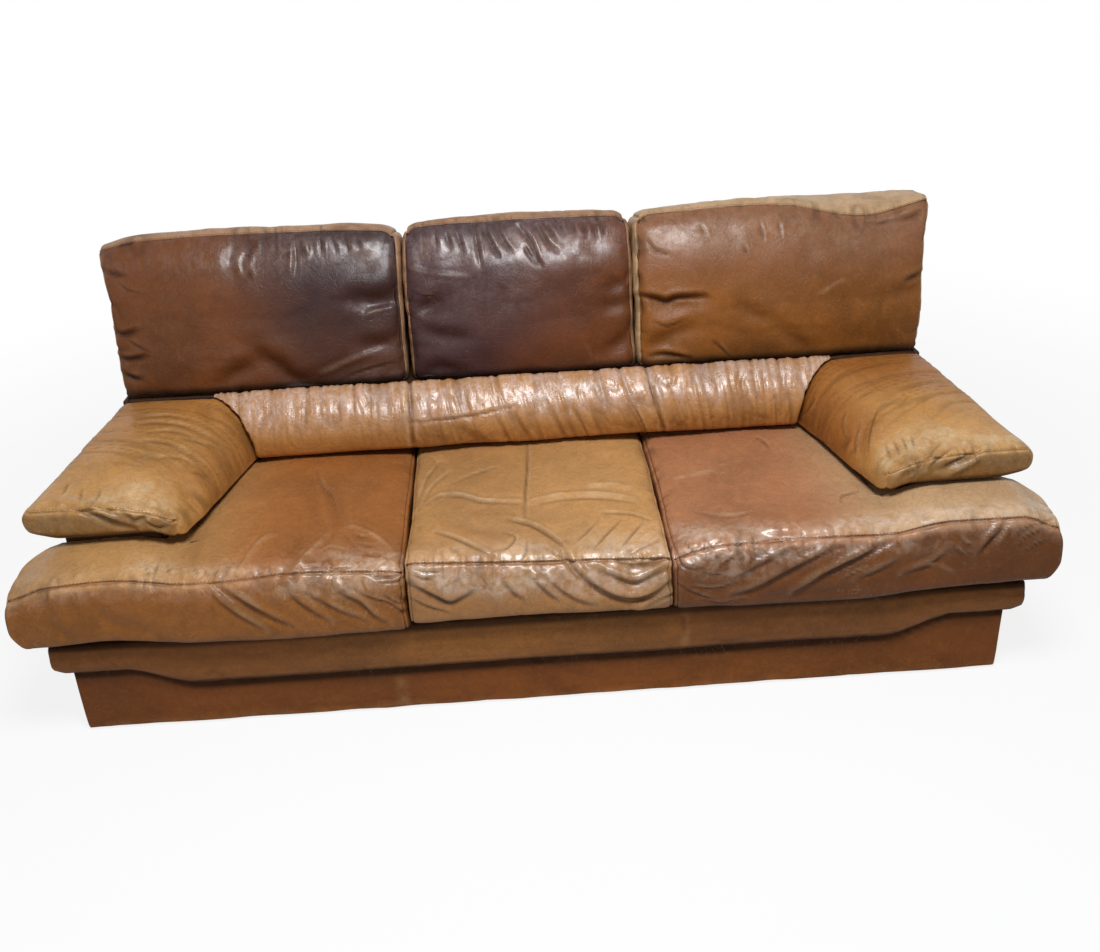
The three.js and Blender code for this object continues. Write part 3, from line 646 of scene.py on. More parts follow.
RIGHT_BACK_FOLDS = [
    (DEEP, 1.3, [(638, 296), (655, 299), (667, 302), (678, 298), (706, 297)]),
    (SOFT, 1.0, [(640, 300), (670, 306), (710, 300)]),
    (CREASE, 1.3, [(647, 240), (655, 250), (669, 254)]),
    (SOFT, 0.7, [(737, 300), (750, 313), (778, 321)]),
    (RIDGE, 0.6, [(818, 296), (844, 280)]),
    (DEEP, 0.9, [(906, 281), (914, 277), (922, 274)]),
    (SOFT, 0.8, [(888, 294), (905, 292), (920, 288)]),
    (DEEP, 0.9, [(649, 357), (665, 355), (690, 359)]),
    (SOFT, 1.0, [(651, 347), (677, 333), (695, 327)]),
    (CREASE, 1.1, [(713, 341), (722, 349), (730, 357)]),
    (CREASE, 1.1, [(655, 322), (668, 326), (684, 320)]),
    (SOFT, 0.8, [(780, 330), (795, 340), (810, 352)]),
    (DEEP, 0.8, [(900, 219), (912, 216), (923, 211)]),
    (CREASE, 1.0, [(866, 223), (885, 222), (903, 218)]),
    (CREASE, 0.9, [(701, 226), (706, 234)]),
    (CREASE, 0.9, [(744, 246), (747, 254)]),
    (CREASE, 0.9, [(760, 224), (764, 240)]),
    (CREASE, 0.9, [(779, 222), (781, 236)]),
]


# Finishes
def paint(code):
    """A colour as it is seen, such as "a06c3c", in the linear values that a shader takes."""
    values = [int(code[i:i + 2], 16) / 255 for i in (0, 2, 4)]
    return tuple(v / 12.92 if v <= 0.04045 else ((v + 0.055) / 1.055) ** 2.4 for v in values) + (1,)


class Wire:
    """A socket of a node tree. Sums and products of wires add the Math nodes that work them out."""

    def __init__(self, graph, socket):
        self.graph = graph
        self.socket = socket

    def math(self, operation, *others):
        return self.graph.node("ShaderNodeMath", {"operation": operation}, dict(enumerate([self, *others])))

    def __add__(self, other):
        return self.math("ADD", other)

    def __sub__(self, other):
        return self.math("SUBTRACT", other)

    def __rsub__(self, other):
        return self.graph.node("ShaderNodeMath", {"operation": "SUBTRACT"}, {0: other, 1: self})

    def __mul__(self, other):
        return self.math("MULTIPLY", other)

    __radd__ = __add__
    __rmul__ = __mul__

    def clamped(self):
        return self.math("MAXIMUM", 0.0).math("MINIMUM", 1.0)

    def between(self, low, high):
        """0 below `low`, 1 above `high` and a soft step between."""
        settings = {"interpolation_type": "SMOOTHSTEP"}
        inputs = {"Value": self, "From Min": low, "From Max": high}
        return self.graph.node("ShaderNodeMapRange", settings, inputs)


class Graph:
    """A node tree that is being wired up."""

    def __init__(self, tree):
        self.tree = tree

    def node(self, kind, settings, inputs, output=0):
        """Adds a node. Its settings come first, then the value or wire of each input."""
        made = self.tree.nodes.new(kind)
        for key, value in settings.items():
            setattr(made, key, value)
        for key, value in inputs.items():
            self.feed(made.inputs[key], value)
        return Wire(self, made.outputs[output])

    def feed(self, socket, value):
        if isinstance(value, Wire):
            self.tree.links.new(value.socket, socket)
        else:
            socket.default_value = value

    def ray(self, kind):
        """1 for light rays of one kind, such as "Is Camera Ray"."""
        return self.node("ShaderNodeLightPath", {}, {}, output=kind)


class Finish(Graph):
    """A material that is being wired up."""

    def __init__(self, name):
        self.material = bpy.data.materials.new(name)
        self.material.use_nodes = True
        super().__init__(self.material.node_tree)
        self.shader = self.tree.nodes["Principled BSDF"]
        self.here = self.node("ShaderNodeTexCoord", {}, {}, output="Object")

    def field(self, name):
        return self.node("ShaderNodeAttribute", {"attribute_name": name}, {}, output="Fac")

    def noise(self, scale, detail, distortion=0.0, place=None):
        inputs = {"Scale": scale, "Detail": detail, "Distortion": distortion, "Vector": place or self.here}
        return self.node("ShaderNodeTexNoise", {}, inputs)

    def cells(self, scale):
        inputs = {"Scale": scale, "Vector": self.here}
        return self.node("ShaderNodeTexVoronoi", {}, inputs, output="Distance")

    def stretched(self, x, y, z):
        return self.node("ShaderNodeMapping", {}, {"Vector": self.here, "Scale": (x, y, z)})

    def blend(self, share, a, b):
        """A colour between two colours."""
        return self.node("ShaderNodeMix", {"data_type": "RGBA"}, {0: share, 6: a, 7: b}, output=2)

    def bump(self, height, distance, under=None):
        inputs = {"Height": height, "Distance": distance, "Strength": 1.0}
        if under is not None:
            inputs["Normal"] = under
        return self.node("ShaderNodeBump", {}, inputs)

    def done(self, **sockets):
        for key, value in sockets.items():
            self.feed(self.shader.inputs[key.replace("_", " ")], value)
        return self.material


STREAKS = (78, 11, 11)


def leather(name, body, deep, pale, second=None, border=None, rough=0.4, gloss=0.25, mottle=1.0, grain=1.0,
            sheen_paint=0.35, sheen_paint_colour="cdb2a2", streaky=0.15, coat=0.8):
    """Worn leather. `body` is its own colour, `deep` is the painted shade in its creases, gaps and under
    parts and the dark of its seams and veins, and `pale` is its real wear and its painted highlights.
    The field `tone` turns it to the second colour, and `border` to the colour of its borders. Where the
    field of gloss and painted sheen is high, a painted sheen is mixed into its colour under a glossy film."""
    f = Finish(name)
    clouds = f.noise(4.3, 4.0, 0.4)
    patches = f.noise(17.0, 5.0, 0.8)
    specks = f.noise(95.0, 3.0, 0.3)
    cloudy = clouds.between(0.36, 0.66)
    colour = f.blend(cloudy * 0.5 * mottle, paint(body), shade_of(body, 0.80))
    colour = f.blend(patches.between(0.5, 0.78) * 0.3 * mottle, colour, shade_of(body, 1.16))
    if second:
        turn = (f.field("tone") + (patches - 0.5) * 0.5 * f.field("tone")).clamped()
        shaded = f.blend(cloudy * 0.5, paint(second), shade_of(second, 0.82))
        colour = f.blend(turn, colour, shaded)
    if border:
        edging = f.blend(patches.between(0.35, 0.7) * 0.5, paint(border), shade_of(border, 0.78))
        colour = f.blend(f.field("border"), colour, edging)
    colour = f.blend(specks.between(0.54, 0.8) * 0.25, colour, shade_of(body, 0.62))
    # Paler where the leather is worn, and where highlights are painted on fold lips, welts and sheen spots.
    rubbed = (f.field("wear_and_painted_highlights") * patches.between(0.3, 0.65) * (0.5 + specks)).clamped()
    colour = f.blend(rubbed * 0.55, colour, paint(pale))
    streaks = f.noise(1.0, 3.0, 0.4, f.stretched(*STREAKS))
    gloss_and_painted_sheen = f.field("gloss_and_painted_sheen")
    broken = (f.noise(38.0, 4.0, 1.2) * (1 - streaky) + streaks * streaky).between(0.34, 0.70)
    # Painted sheen: the colour turns towards the sheen colour where the field of gloss and painted sheen is
    # high.
    colour = f.blend((gloss_and_painted_sheen * broken * sheen_paint).clamped(), colour, paint(sheen_paint_colour))
    # Painted shade: the colour turns to the deep colour in creases, fold valleys, gaps and under parts, and
    # on the dark line of seams.
    colour = f.blend((f.field("painted_shade_and_seams") * (0.75 + patches * 0.3)).clamped(), colour, paint(deep))
    pores = f.cells(300.0)
    cracks = f.cells(120.0)
    wrinkles = f.noise(48.0, 3.0, 1.0)
    fine = f.noise(240.0, 2.0)
    veins = (f.noise(19.0, 3.0, 1.3) - 0.5).math("ABSOLUTE").between(0.0, 0.045)
    small_veins = (f.noise(58.0, 2.0, 0.8) - 0.5).math("ABSOLUTE").between(0.0, 0.07)
    colour = f.blend((1 - veins * small_veins) * 0.12, colour, paint(deep))
    scratches = 1 - (f.noise(31.0, 3.0, 0.5) - 0.5).math("ABSOLUTE").between(0.0, 0.012)
    colour = f.blend(scratches * clouds.between(0.42, 0.60) * 0.09, colour, paint(pale))
    height = cracks * -0.35 + pores * 0.2 + fine * 0.25
    rough_skin = wrinkles * 0.8 + veins * 0.3 + small_veins * 0.2
    normal = f.bump(rough_skin + streaks * gloss_and_painted_sheen * (5.0 * streaky), 0.0009 * grain)
    normal = f.bump(height, 0.00032 * grain, normal)
    shine = rough + (patches - 0.5) * 0.2 + (specks - 0.5) * 0.12
    shine = (shine - gloss_and_painted_sheen * 0.05 + f.field("painted_shade_and_seams") * 0.25).clamped()
    film = (gloss_and_painted_sheen * (0.3 + broken * 0.9) * (1 - f.field("painted_shade_and_seams"))).clamped() * coat
    return f.done(Base_Color=colour, Roughness=shine, Normal=normal, Specular_IOR_Level=gloss,
                  Coat_Weight=film, Coat_Roughness=0.20)


def shade_of(code, factor):
    """The colour of a code, lighter or darker by a factor as it is seen."""
    values = [min(255, round(int(code[i:i + 2], 16) * factor)) for i in (0, 2, 4)]
    return paint("".join(f"{v:02x}" for v in values))


def timber_finish():
    f = Finish("timber")
    rings = f.noise(9.0, 6.0, 1.5, f.stretched(1, 6, 9))
    fibres = f.noise(160.0, 4.0, 0.0, f.stretched(0.08, 1, 1))
    colour = f.blend(rings.between(0.35, 0.7), paint("c9a876"), paint("a27c4a"))
    colour = f.blend(fibres * 0.3, colour, paint("7d5c34"))
    return f.done(Base_Color=colour, Roughness=0.7 + fibres * 0.15, Normal=f.bump(fibres, 0.0005))


def woven_finish(name, warp, weft, pitch, rough=0.85):
    """Threads that cross under and over."""
    f = Finish(name)
    across, along = (f.node("ShaderNodeSeparateXYZ", {}, {0: f.here}, output=axis) for axis in (0, 1))
    turns = 2 * math.pi / pitch
    weave = (across * turns).math("SINE") * (along * turns).math("SINE")
    fuzz = f.noise(400.0, 3.0)
    colour = f.blend(weave.between(-0.4, 0.4), paint(warp), paint(weft))
    colour = f.blend(fuzz * 0.4, colour, shade_of(warp, 0.7))
    normal = f.bump(weave + fuzz * 0.6, 0.0004)
    return f.done(Base_Color=colour, Roughness=rough + fuzz * 0.1, Normal=normal)


def plastic_finish():
    f = Finish("glide_plastic")
    grit = f.noise(500.0, 2.0)
    scuffs = f.noise(60.0, 4.0, 2.0)
    colour = f.blend(scuffs.between(0.5, 0.75) * 0.5, paint("2b2724"), paint("55504a"))
    return f.done(Base_Color=colour, Roughness=0.45 + scuffs * 0.2, Normal=f.bump(grit, 0.0002))


def thread_finish():
    f = Finish("seam_thread")
    twist = f.noise(900.0, 2.0)
    colour = f.blend(twist * 0.6, paint("7a5433"), paint("4a301c"))
    return f.done(Base_Color=colour, Roughness=0.6 + twist * 0.2, Normal=f.bump(twist, 0.0002))


# Places that several pieces share, in the section frame
SEAT_HALF = SEAT_HIGH.x
SEAT_GAP = 0.004
SEAT_DEPTH = SEAT_HIGH.y
SEAT_BOTTOM = SEAT_LOW.z
SEAT_SEAM = 0.386
SEAT_CROWN = 0.024
SEAT_BULGE = 0.016
SEAT_BORDER = 0.095
SEAT_TUCK = 0.014
ARM_FRONT = section_box("arm_front_panel_right")[0].y
PAD_FRONT, PAD_BACK = PAD_LOW.y, PAD_HIGH.y
PAD_OUTER = (1.046, 0.952)
PAD_INNER = (0.735, 0.634)
ARM_ON_FRAME = 0.8
WING_REACH = 1.070
WING_DEPTH = 0.158
WING_CORNER_DEPTH, WING_CORNER_WIDTH = 0.062, 0.072
WING_START, WING_HUMP = 0.690, 0.850
WING_RIM = 0.080
WING_RISE = {"left": 0.016, "right": 0.028}
WING_SLOPE = 0.014
WING_BULGE, WING_TUCK = 0.005, 0.026


def pad_share(y):
    return (y - PAD_FRONT) / (PAD_BACK - PAD_FRONT)


def pad_outer(y):
    return mix(*PAD_OUTER, pad_share(y))


def pad_inner(y):
    return mix(*PAD_INNER, pad_share(y))


def arm_inner(y):
    return mix(pad_outer(y), pad_inner(y), ARM_ON_FRAME)


def border_shift(y, up):
    """The front border bulges between its seams, most below its middle, and tucks in under the cushion."""
    near_front = 1 - smooth(0, SEAT_BORDER, y)
    below = (up + SEAT_BELLY) / np.where(up > -SEAT_BELLY, 1 + SEAT_BELLY, 1 - SEAT_BELLY)
    return near_front * (SEAT_TUCK * smooth(-0.5, -1, up) - SEAT_BULGE * (1 - below * below))


def follow(profile, x):
    """The value of a profile of (x, value) pairs, with soft turns."""
    at, values = zip(*profile)
    fine = np.linspace(at[0], at[-1], 60)
    eased = np.interp(fine, at, values)
    kernel = np.ones(7) / 7
    eased = np.convolve(np.pad(eased, 3, mode="edge"), kernel, mode="valid")
    return np.interp(x, fine, eased)


# Seat cushions. The nose is the round front edge of the top, and the toe is the one under the front.
SEAT_ROW_STEP = 0.0062
SEAT_FRONT_STEP = 0.0042
CENTRE_SEAT_STEP, OUTER_SEAT_STEP = 0.0045, 0.005
WING_COLUMNS = 62
SEAT_FRONT_PART = 0.28
SEAT_SOFT = 0.008
SEAT_NOSE, SEAT_SIDE_ROUND, SEAT_TOE = 0.046, 0.017, 0.034
SEAT_CORNER = 0.020
SEAT_NOSE_RISE = 0.009
SEAT_BELLY = 0.35
SEAT_DIP_REACH, SEAT_FOOT_REACH = 0.22, 0.12
NOSE_BAND, BORDER_SHEEN_BAND = 0.05, 0.07
NOSE_WRINKLES = (0.014, 0.03, 0.03)
PANEL_WELT = 0.0006
CENTRE_SEAM_LINE = [(-0.27, 0.014), (-0.15, 0.003), (0.0, -0.008), (0.15, -0.012), (0.27, -0.014)]
RIGHT_SEAM_LINE = [
    (0.27, -0.025), (0.33, 0.002), (0.53, 0.006), (0.68, 0.006), (0.85, 0.002), (1.07, 0.0),
]
LEFT_SEAM_LINE = [
    (-1.07, -0.012), (-0.92, 0.003), (-0.82, 0.003), (-0.63, -0.006), (-0.5, 0.005), (-0.27, -0.006),
]
CENTRE_FOOT_LINE = [(-0.27, 0.003), (0.0, 0.007), (0.27, 0.003)]
RIGHT_FOOT_LINE = [(0.27, 0.0), (0.42, -0.011), (0.66, -0.012), (0.80, 0.0), (0.9, 0.006), (1.07, 0.008)]
LEFT_FOOT_LINE = [
    (-1.07, 0.0), (-0.98, 0.004), (-0.88, 0.014), (-0.72, -0.008), (-0.5, -0.015), (-0.27, -0.010),
]

# Gathers at a seam, each with its pitch, how far it reaches and its depth
NOSE_GATHER = (0.017, 0.055, 0.0026)
SEAT_SIDE_GATHER = (0.03, 0.035, 0.0016)
SEAT_FOOT_GATHER = (0.026, 0.035, 0.0022)
PAD_FRONT_GATHER = (0.015, 0.034, 0.0028)
PAD_OUTER_GATHER = (0.024, 0.028, 0.0012)
PAD_INNER_GATHER = (0.022, 0.05, 0.002)
BACK_TOP_GATHER = (0.015, 0.055, 0.0022)
BACK_SIDE_GATHER = (0.034, 0.036, 0.0036)
BACK_FOOT_GATHER = (0.03, 0.03, 0.0025)
BACK_REAR_GATHER = (0.026, 0.03, 0.002)
ROLL_GATHER = (0.05, 0.03, 0.0014)


def round_corner(a, b, a_end, b_end, radius):
    """Moves points of a square corner, which lies at (a_end, b_end), onto a round one."""
    inward_a, inward_b = np.sign(np.mean(a) - a_end), np.sign(np.mean(b) - b_end)
    near_a = np.clip(1 - (a - a_end) * inward_a / radius, 0, 1)
    near_b = np.clip(1 - (b - b_end) * inward_b / radius, 0, 1)
    shrink = np.maximum(near_a, near_b) / np.maximum(np.hypot(near_a, near_b), 1e-9)
    shrink = np.where((near_a > 0) & (near_b > 0), shrink, 1)
    return (
        np.where(near_a > 0, a_end + inward_a * radius * (1 - near_a * shrink), a),
        np.where(near_b > 0, b_end + inward_b * radius * (1 - near_b * shrink), b),
    )


def round_seat(block, sides):
    """The seat's block with a round nose and toe, and with round edges along the given sides."""
    x, y, z = block.point.T
    y, z = round_corner(y, z, 0, SEAT_SEAM, SEAT_NOSE)
    y, z = round_corner(y, z, 0, SEAT_BOTTOM, SEAT_TOE)
    for side in sides:
        x, z = round_corner(x, z, side, SEAT_SEAM, SEAT_SIDE_ROUND)
        x, y = round_corner(x, y, side, 0, SEAT_CORNER)
    return x, y, z


def seat_rows():
    front = spread(0, 2 * SEAT_FRONT_PART, SEAT_FRONT_STEP)
    front = front[front < SEAT_FRONT_PART]
    back = spread(SEAT_FRONT_PART, SEAT_DEPTH, 1.8 * SEAT_ROW_STEP)
    return np.concatenate([front, back[back > SEAT_FRONT_PART + SEAT_ROW_STEP]])


def seat_levels():
    return spread(SEAT_BOTTOM, SEAT_SEAM, SEAT_FRONT_STEP)


def dress_seat(surface, block, seam_line, foot_line, folds, shine, seed):
    """The seams, sag, wrinkles and folds that the three seat cushions share."""
    x, y, _ = surface.points.T
    up = block.place[:, 2]
    near_front = 1 - smooth(0.0, SEAT_DIP_REACH, y)
    drop = (follow(seam_line, x) + SEAT_NOSE_RISE) * near_front * smooth(-0.6, 1, up)
    at_foot = (1 - smooth(0.0, SEAT_FOOT_REACH, y)) * smooth(0.5, -0.9, up)
    surface.points[:, 2] += drop + follow(foot_line, x) * at_foot
    surface.unevenness(seed)
    front_top = block.from_edge(y=-1, z=1)
    sides = [block.from_edge(x=side, z=1) for side in (-1, 1)]
    top = smooth(0.4, 0.9, up)
    front = smooth(0.03, 0.0, y)
    # The band along the nose, where it is crumpled and where sheen is painted.
    rubbed = close_to(front_top, NOSE_BAND)
    on_top = rubbed * top
    surface.crumple(NOSE_WRINKLES, 0.0018, seed + 3, where=on_top, dark=0.15)
    surface.gather(x, front_top, *NOSE_GATHER, seed + 5)
    for edge in sides:
        surface.gather(y, edge, *SEAT_SIDE_GATHER, seed + 7)
    surface.gather(x, block.from_edge(y=-1, z=-1), *SEAT_FOOT_GATHER, seed + 9)
    press_folds(surface, folds)
    surface.sew(front_top, dark=0.35)
    surface.sew(block.from_edge(y=-1, z=-1))
    for edge in [*sides, *(block.from_edge(x=side, y=-1) for side in (-1, 1))]:
        surface.sew(edge, welt=PANEL_WELT, dark=0.2)
    # Painted shade between the cushions and along the foot.
    shade_gaps(surface, block)
    # Gloss with painted sheen along the nose, and spots of painted sheen.
    surface.set("gloss_and_painted_sheen", 0.30 * on_top + 0.06 * rubbed * front)
    paint_sheen_spots(surface, shine)
    surface.set("border", smooth(0.012, 0.0, y) * smooth(0.95, 0.7, up))
    surface.lines.append(stitch_line(surface, block))


def shade_gaps(surface, block, sides=(-1, 1), edge=0.018, foot=0.040):
    """Painted shade on the faces between two cushions and along the foot of the front face."""
    inward = np.minimum(block.high[2] - block.flat[:, 2], block.flat[:, 1] - block.low[1])
    for side in sides:
        end = block.high[0] if side > 0 else block.low[0]
        on_side = smooth(0.004, 0.0, np.abs(block.flat[:, 0] - end))
        surface.darken(0.9 * on_side * smooth(edge, 2.5 * edge, inward))
    above_foot = block.flat[:, 2] - block.low[2]
    surface.darken(0.9 * smooth(foot, 0.4 * foot, above_foot))


def stitch_line(surface, block):
    """The stitches' path in order, on the top panel just behind its front seam."""
    behind = np.abs(block.flat[:, 1] - block.low[1] - STITCH_INSET)
    on_top = block.flat[:, 2] > block.high[2] - 1e-6
    row = on_top & (behind < behind[on_top].min() + 1e-6)
    points = (surface.points + STITCH_LIFT * surface.normals())[row]
    return points[np.argsort(points[:, 0])]


def centre_seat():
    columns = spread(-SEAT_HALF, SEAT_HALF, CENTRE_SEAT_STEP)
    block = Block(columns, seat_rows(), seat_levels(), SEAT_SOFT)
    x, y, z = round_seat(block, (-SEAT_HALF, SEAT_HALF))
    up = block.place[:, 2]
    crown = SEAT_CROWN * arch(-SEAT_HALF, SEAT_HALF, x) * arch(0, SEAT_DEPTH, y)
    points = stacked(x, y + border_shift(y, up), z + crown * np.maximum(0, up))
    surface = Surface(points, block.quads)
    dress_seat(surface, block, CENTRE_SEAM_LINE, CENTRE_FOOT_LINE, CENTRE_SEAT_FOLDS, CENTRE_SEAT_SHINE, 11)
    surface.set("tone", 0.75 * smooth(0.02, -0.01, block.flat[:, 1]) + 0.25 * hump(-0.12, 0.16, x))
    return surface


def outer_seat(side, seam_line, foot_line, folds, shine, seed):
    """An outer seat cushion, L-shaped from above: its wing reaches out past the arm."""
    start = SEAT_HALF + SEAT_GAP
    end = arm_inner(ARM_FRONT) - SEAT_GAP
    inset = end - EDGE
    inner = spread(start, 2 * WING_START - start, OUTER_SEAT_STEP)
    inner = inner[inner < WING_START]
    on_wing = np.linspace(WING_START, inset, WING_COLUMNS)
    outer = end - np.array(EDGE_PLACES)[-2::-1] * EDGE
    columns = np.concatenate([inner, on_wing, outer])
    rows = seat_rows()
    step = WING_DEPTH + np.array([0, 0.25, 0.5, 0.75, 1]) * SEAT_GAP
    rows = np.sort(np.concatenate([rows[np.abs(rows - WING_DEPTH - SEAT_GAP / 2) > SEAT_GAP], step]))
    block = Block(columns, rows, seat_levels(), SEAT_SOFT)
    x, y, z = round_seat(block, (start,))
    up = block.place[:, 2]
    turn = np.clip((y - WING_DEPTH + WING_CORNER_DEPTH) / WING_CORNER_DEPTH, 0, 1)
    bulge = WING_BULGE * (1 - up * up) - WING_TUCK * smooth(0, -1, up)
    wing_end = WING_REACH - WING_CORNER_WIDTH * (1 - np.sqrt(1 - turn * turn)) + bulge
    back_end = arm_inner(y) - SEAT_GAP
    behind = np.clip((y - WING_DEPTH) / SEAT_GAP, 0, 1)
    reach = mix(wing_end, back_end, behind)
    knee = mix(WING_START, np.minimum(WING_START, back_end - 3 * EDGE), behind)
    placed = mix(start, knee, (x - start) / (WING_START - start))
    along_wing = mix(knee, reach - EDGE, (x - WING_START) / (inset - WING_START))
    placed = np.where(x > WING_START, along_wing, placed)
    placed = np.where(x > inset, reach - (end - x), placed)
    crown = SEAT_CROWN * arch(SEAT_HALF, PAD_INNER[0], placed) * arch(0, SEAT_DEPTH, y)
    on_wing = smooth(WING_START, WING_HUMP, placed)
    rise = WING_RISE[side] * on_wing * (1 - smooth(WING_REACH - WING_RIM, WING_REACH, placed))
    climb = WING_SLOPE * smooth(0, WING_DEPTH, y) * on_wing
    near_front = 1 - smooth(WING_DEPTH, 1.6 * WING_DEPTH, y)
    lift = (crown + near_front * (rise + climb)) * np.maximum(0, up)
    surface = Surface(stacked(placed, y + border_shift(y, up), z + lift), block.quads)
    if side == "left":
        surface.mirror()
    dress_seat(surface, block, seam_line, foot_line, folds, shine, seed)
    on_front = smooth(0.02, -0.01, block.flat[:, 1])
    wing = smooth(0.52, 0.80, placed)
    if side == "right":
        surface.set("tone", wing * (1 - on_front))
        surface.darken(0.25 * on_front * smooth(0.80, 0.95, placed))
    else:
        surface.set("tone", 0.8 * wing * (1 - 0.6 * on_front))
    return surface


# Arm pads
PAD_TOP = (0.508, 0.548)
PAD_TIP = (0.418, 0.396)
PAD_SHOULDER = (0.34, 0.66)
PAD_CROWN, PAD_LIFT = 0.010, 0.012
PAD_BULGE = 0.010
PAD_STEP, PAD_ACROSS_STEP = 0.005, 0.0045
PAD_UNEVEN, PAD_WRINKLE_DEPTH = 0.0032, 0.0014
PAD_OVERHANG = 0.2
PAD_ROUND, PAD_INNER_CORNER, PAD_OUTER_CORNER = 0.022, 0.030, 0.010
ARM_TOP = section_box("arm_top_board_right")[1].z
TOUCH = 0.0003
TIP_THICKNESS = 0.024
PAD_TONES = {"left": (0.55, 0.5), "right": (0.9, 0.9)}


def pad_section(y):
    along = pad_share(y)
    tip = mix(*PAD_TIP, along)
    return along, tip, tip + TIP_THICKNESS, mix(*PAD_TOP, along), mix(*PAD_SHOULDER, along)


def arm_pad(side, folds, shine, seed):
    width = PAD_OUTER[0] - PAD_INNER[0]
    height = PAD_TOP[0] - ARM_TOP
    rows, levels = spread(PAD_FRONT, PAD_BACK, PAD_STEP), spread(0, height, PAD_STEP)
    block = Block(spread(0, width, PAD_ACROSS_STEP), rows, levels, PAD_ROUND)
    x, y, z = block.point.T
    x, y = round_corner(x, y, 0, PAD_FRONT, PAD_INNER_CORNER)
    x, y = round_corner(x, y, width, PAD_FRONT, PAD_OUTER_CORNER)
    up = block.place[:, 2]
    share = 1 - x / width
    along, tip, tip_top, ridge, shoulder = pad_section(y)
    fall = np.clip((share - shoulder) / (1 - shoulder), 0, 1)
    crown = PAD_CROWN * arch(0, shoulder, share) * arch(0, 1, along)
    top = tip_top + (ridge - tip_top) * np.sqrt(1 - fall * fall) + crown
    near_outer = smooth(PAD_OVERHANG, 0, share)
    rest = ARM_TOP + TOUCH + PAD_LIFT * near_outer * (1 - along)
    under = mix(rest, tip, smooth(ARM_ON_FRAME, 1, share))
    bulge = PAD_BULGE * (1 - up * up) * near_outer
    points = stacked(mix(pad_outer(y), pad_inner(y), share) + bulge, y, mix(under, top, z / height))
    surface = Surface(points, block.quads)
    if side == "left":
        surface.mirror()
    surface.unevenness(seed, PAD_UNEVEN)
    front_top = block.from_edge(y=-1, z=1)
    outer_top = block.from_edge(x=1, z=1)
    on_top = smooth(-0.2, 0.8, up)
    outward, behind = x - width, y - PAD_FRONT
    arcs = stacked(np.hypot(0.8 * outward, 1.15 * behind), np.arctan2(behind, 0.05 - outward), 0.0)
    lines = creased(arcs, (0.013, 0.55, 1), seed + 3, 0.2) * on_top * smooth(0.10, 0.2, behind)
    surface.push(-PAD_WRINKLE_DEPTH * lines)
    # Painted shade in the arcs of wrinkles.
    surface.darken(0.35 * lines)
    surface.gather(x, front_top, *PAD_FRONT_GATHER, seed + 5)
    surface.gather(y, outer_top, *PAD_OUTER_GATHER, seed + 7)
    surface.gather(y, block.from_edge(x=-1, z=1), *PAD_INNER_GATHER, seed + 8)
    press_folds(surface, folds)
    for edge in (front_top, outer_top, block.from_edge(x=1, y=-1), block.from_edge(y=1, z=1)):
        surface.sew(edge)
    # Gloss with painted sheen along the front top edge, and spots of painted sheen.
    surface.set("gloss_and_painted_sheen", 0.3 * close_to(front_top, BORDER_SHEEN_BAND))
    paint_sheen_spots(surface, shine)
    back = smooth(0.10, 0.42, behind + 0.05 * noise(surface.points, 0.09, seed + 9))
    inner = smooth(0.55, 0.95, share) * smooth(0.04, 0.2, behind)
    back_tone, inner_tone = PAD_TONES[side]
    surface.set("tone", np.maximum(back_tone * back, inner_tone * inner))
    # Painted shade along the pad's underside.
    surface.darken(0.9 * smooth(0.022, 0.006, block.flat[:, 2]))
    surface.set("border", smooth(PAD_FRONT + 0.012, PAD_FRONT, y) * smooth(0.95, 0.6, up))
    surface.lines.append(stitch_line(surface, block))
    return surface


# Bolster
BOLSTER_LOW, BOLSTER_HIGH = section_box("lumbar_bolster")
BOLSTER_FOOT, BOLSTER_HEAD = 0.503, 0.560
BOLSTER_HALF = 0.736
BOLSTER_EDGE = 0.024
BOLSTER_END_GAP = 0.007
BOLSTER_BOTTOM, BOLSTER_TOP = BOLSTER_LOW.z, 0.556
BOLSTER_BULGE = 0.020
BOLSTER_FALL = 0.022
BOLSTER_BACK = BOLSTER_HIGH.y
BOLSTER_STEP, BOLSTER_LEVEL_STEP, BOLSTER_ROWS = 0.0034, 0.0042, 22
BOLSTER_UNEVEN = 0.0022
BOLSTER_SEAMS = (-0.272, 0.288)
BOLSTER_SEAM_WIDTH, BOLSTER_SEAM_DEPTH, BOLSTER_SEAM_LEAN = 0.005, 0.006, 0.25
BOLSTER_WELT_PLACE, BOLSTER_WELT_WIDTH = 0.011, 0.004
PLEAT_PITCH = [(-0.74, 0.0145), (-0.30, 0.0165), (-0.24, 0.024), (0.2, 0.028), (0.34, 0.022), (0.74, 0.019)]
PLEAT_LEAN = [(-0.74, -0.10), (-0.35, 0.0), (-0.1, 0.30), (0.25, 0.40), (0.5, 0.12), (0.74, 0.0)]
PLEAT_DEPTH = 0.0062


def pad_face(y, z):
    """How far from the middle the arm pad's inner face lies at a height, where the bolster meets it."""
    nearest = np.minimum(y, PAD_BACK)
    _, _, tip_top, ridge, shoulder = pad_section(nearest)
    rise = np.clip((z - tip_top) / (ridge - tip_top), 0, 1)
    share = mix(shoulder, 1, np.sqrt(1 - rise * rise))
    return mix(pad_outer(nearest), pad_inner(nearest), share)


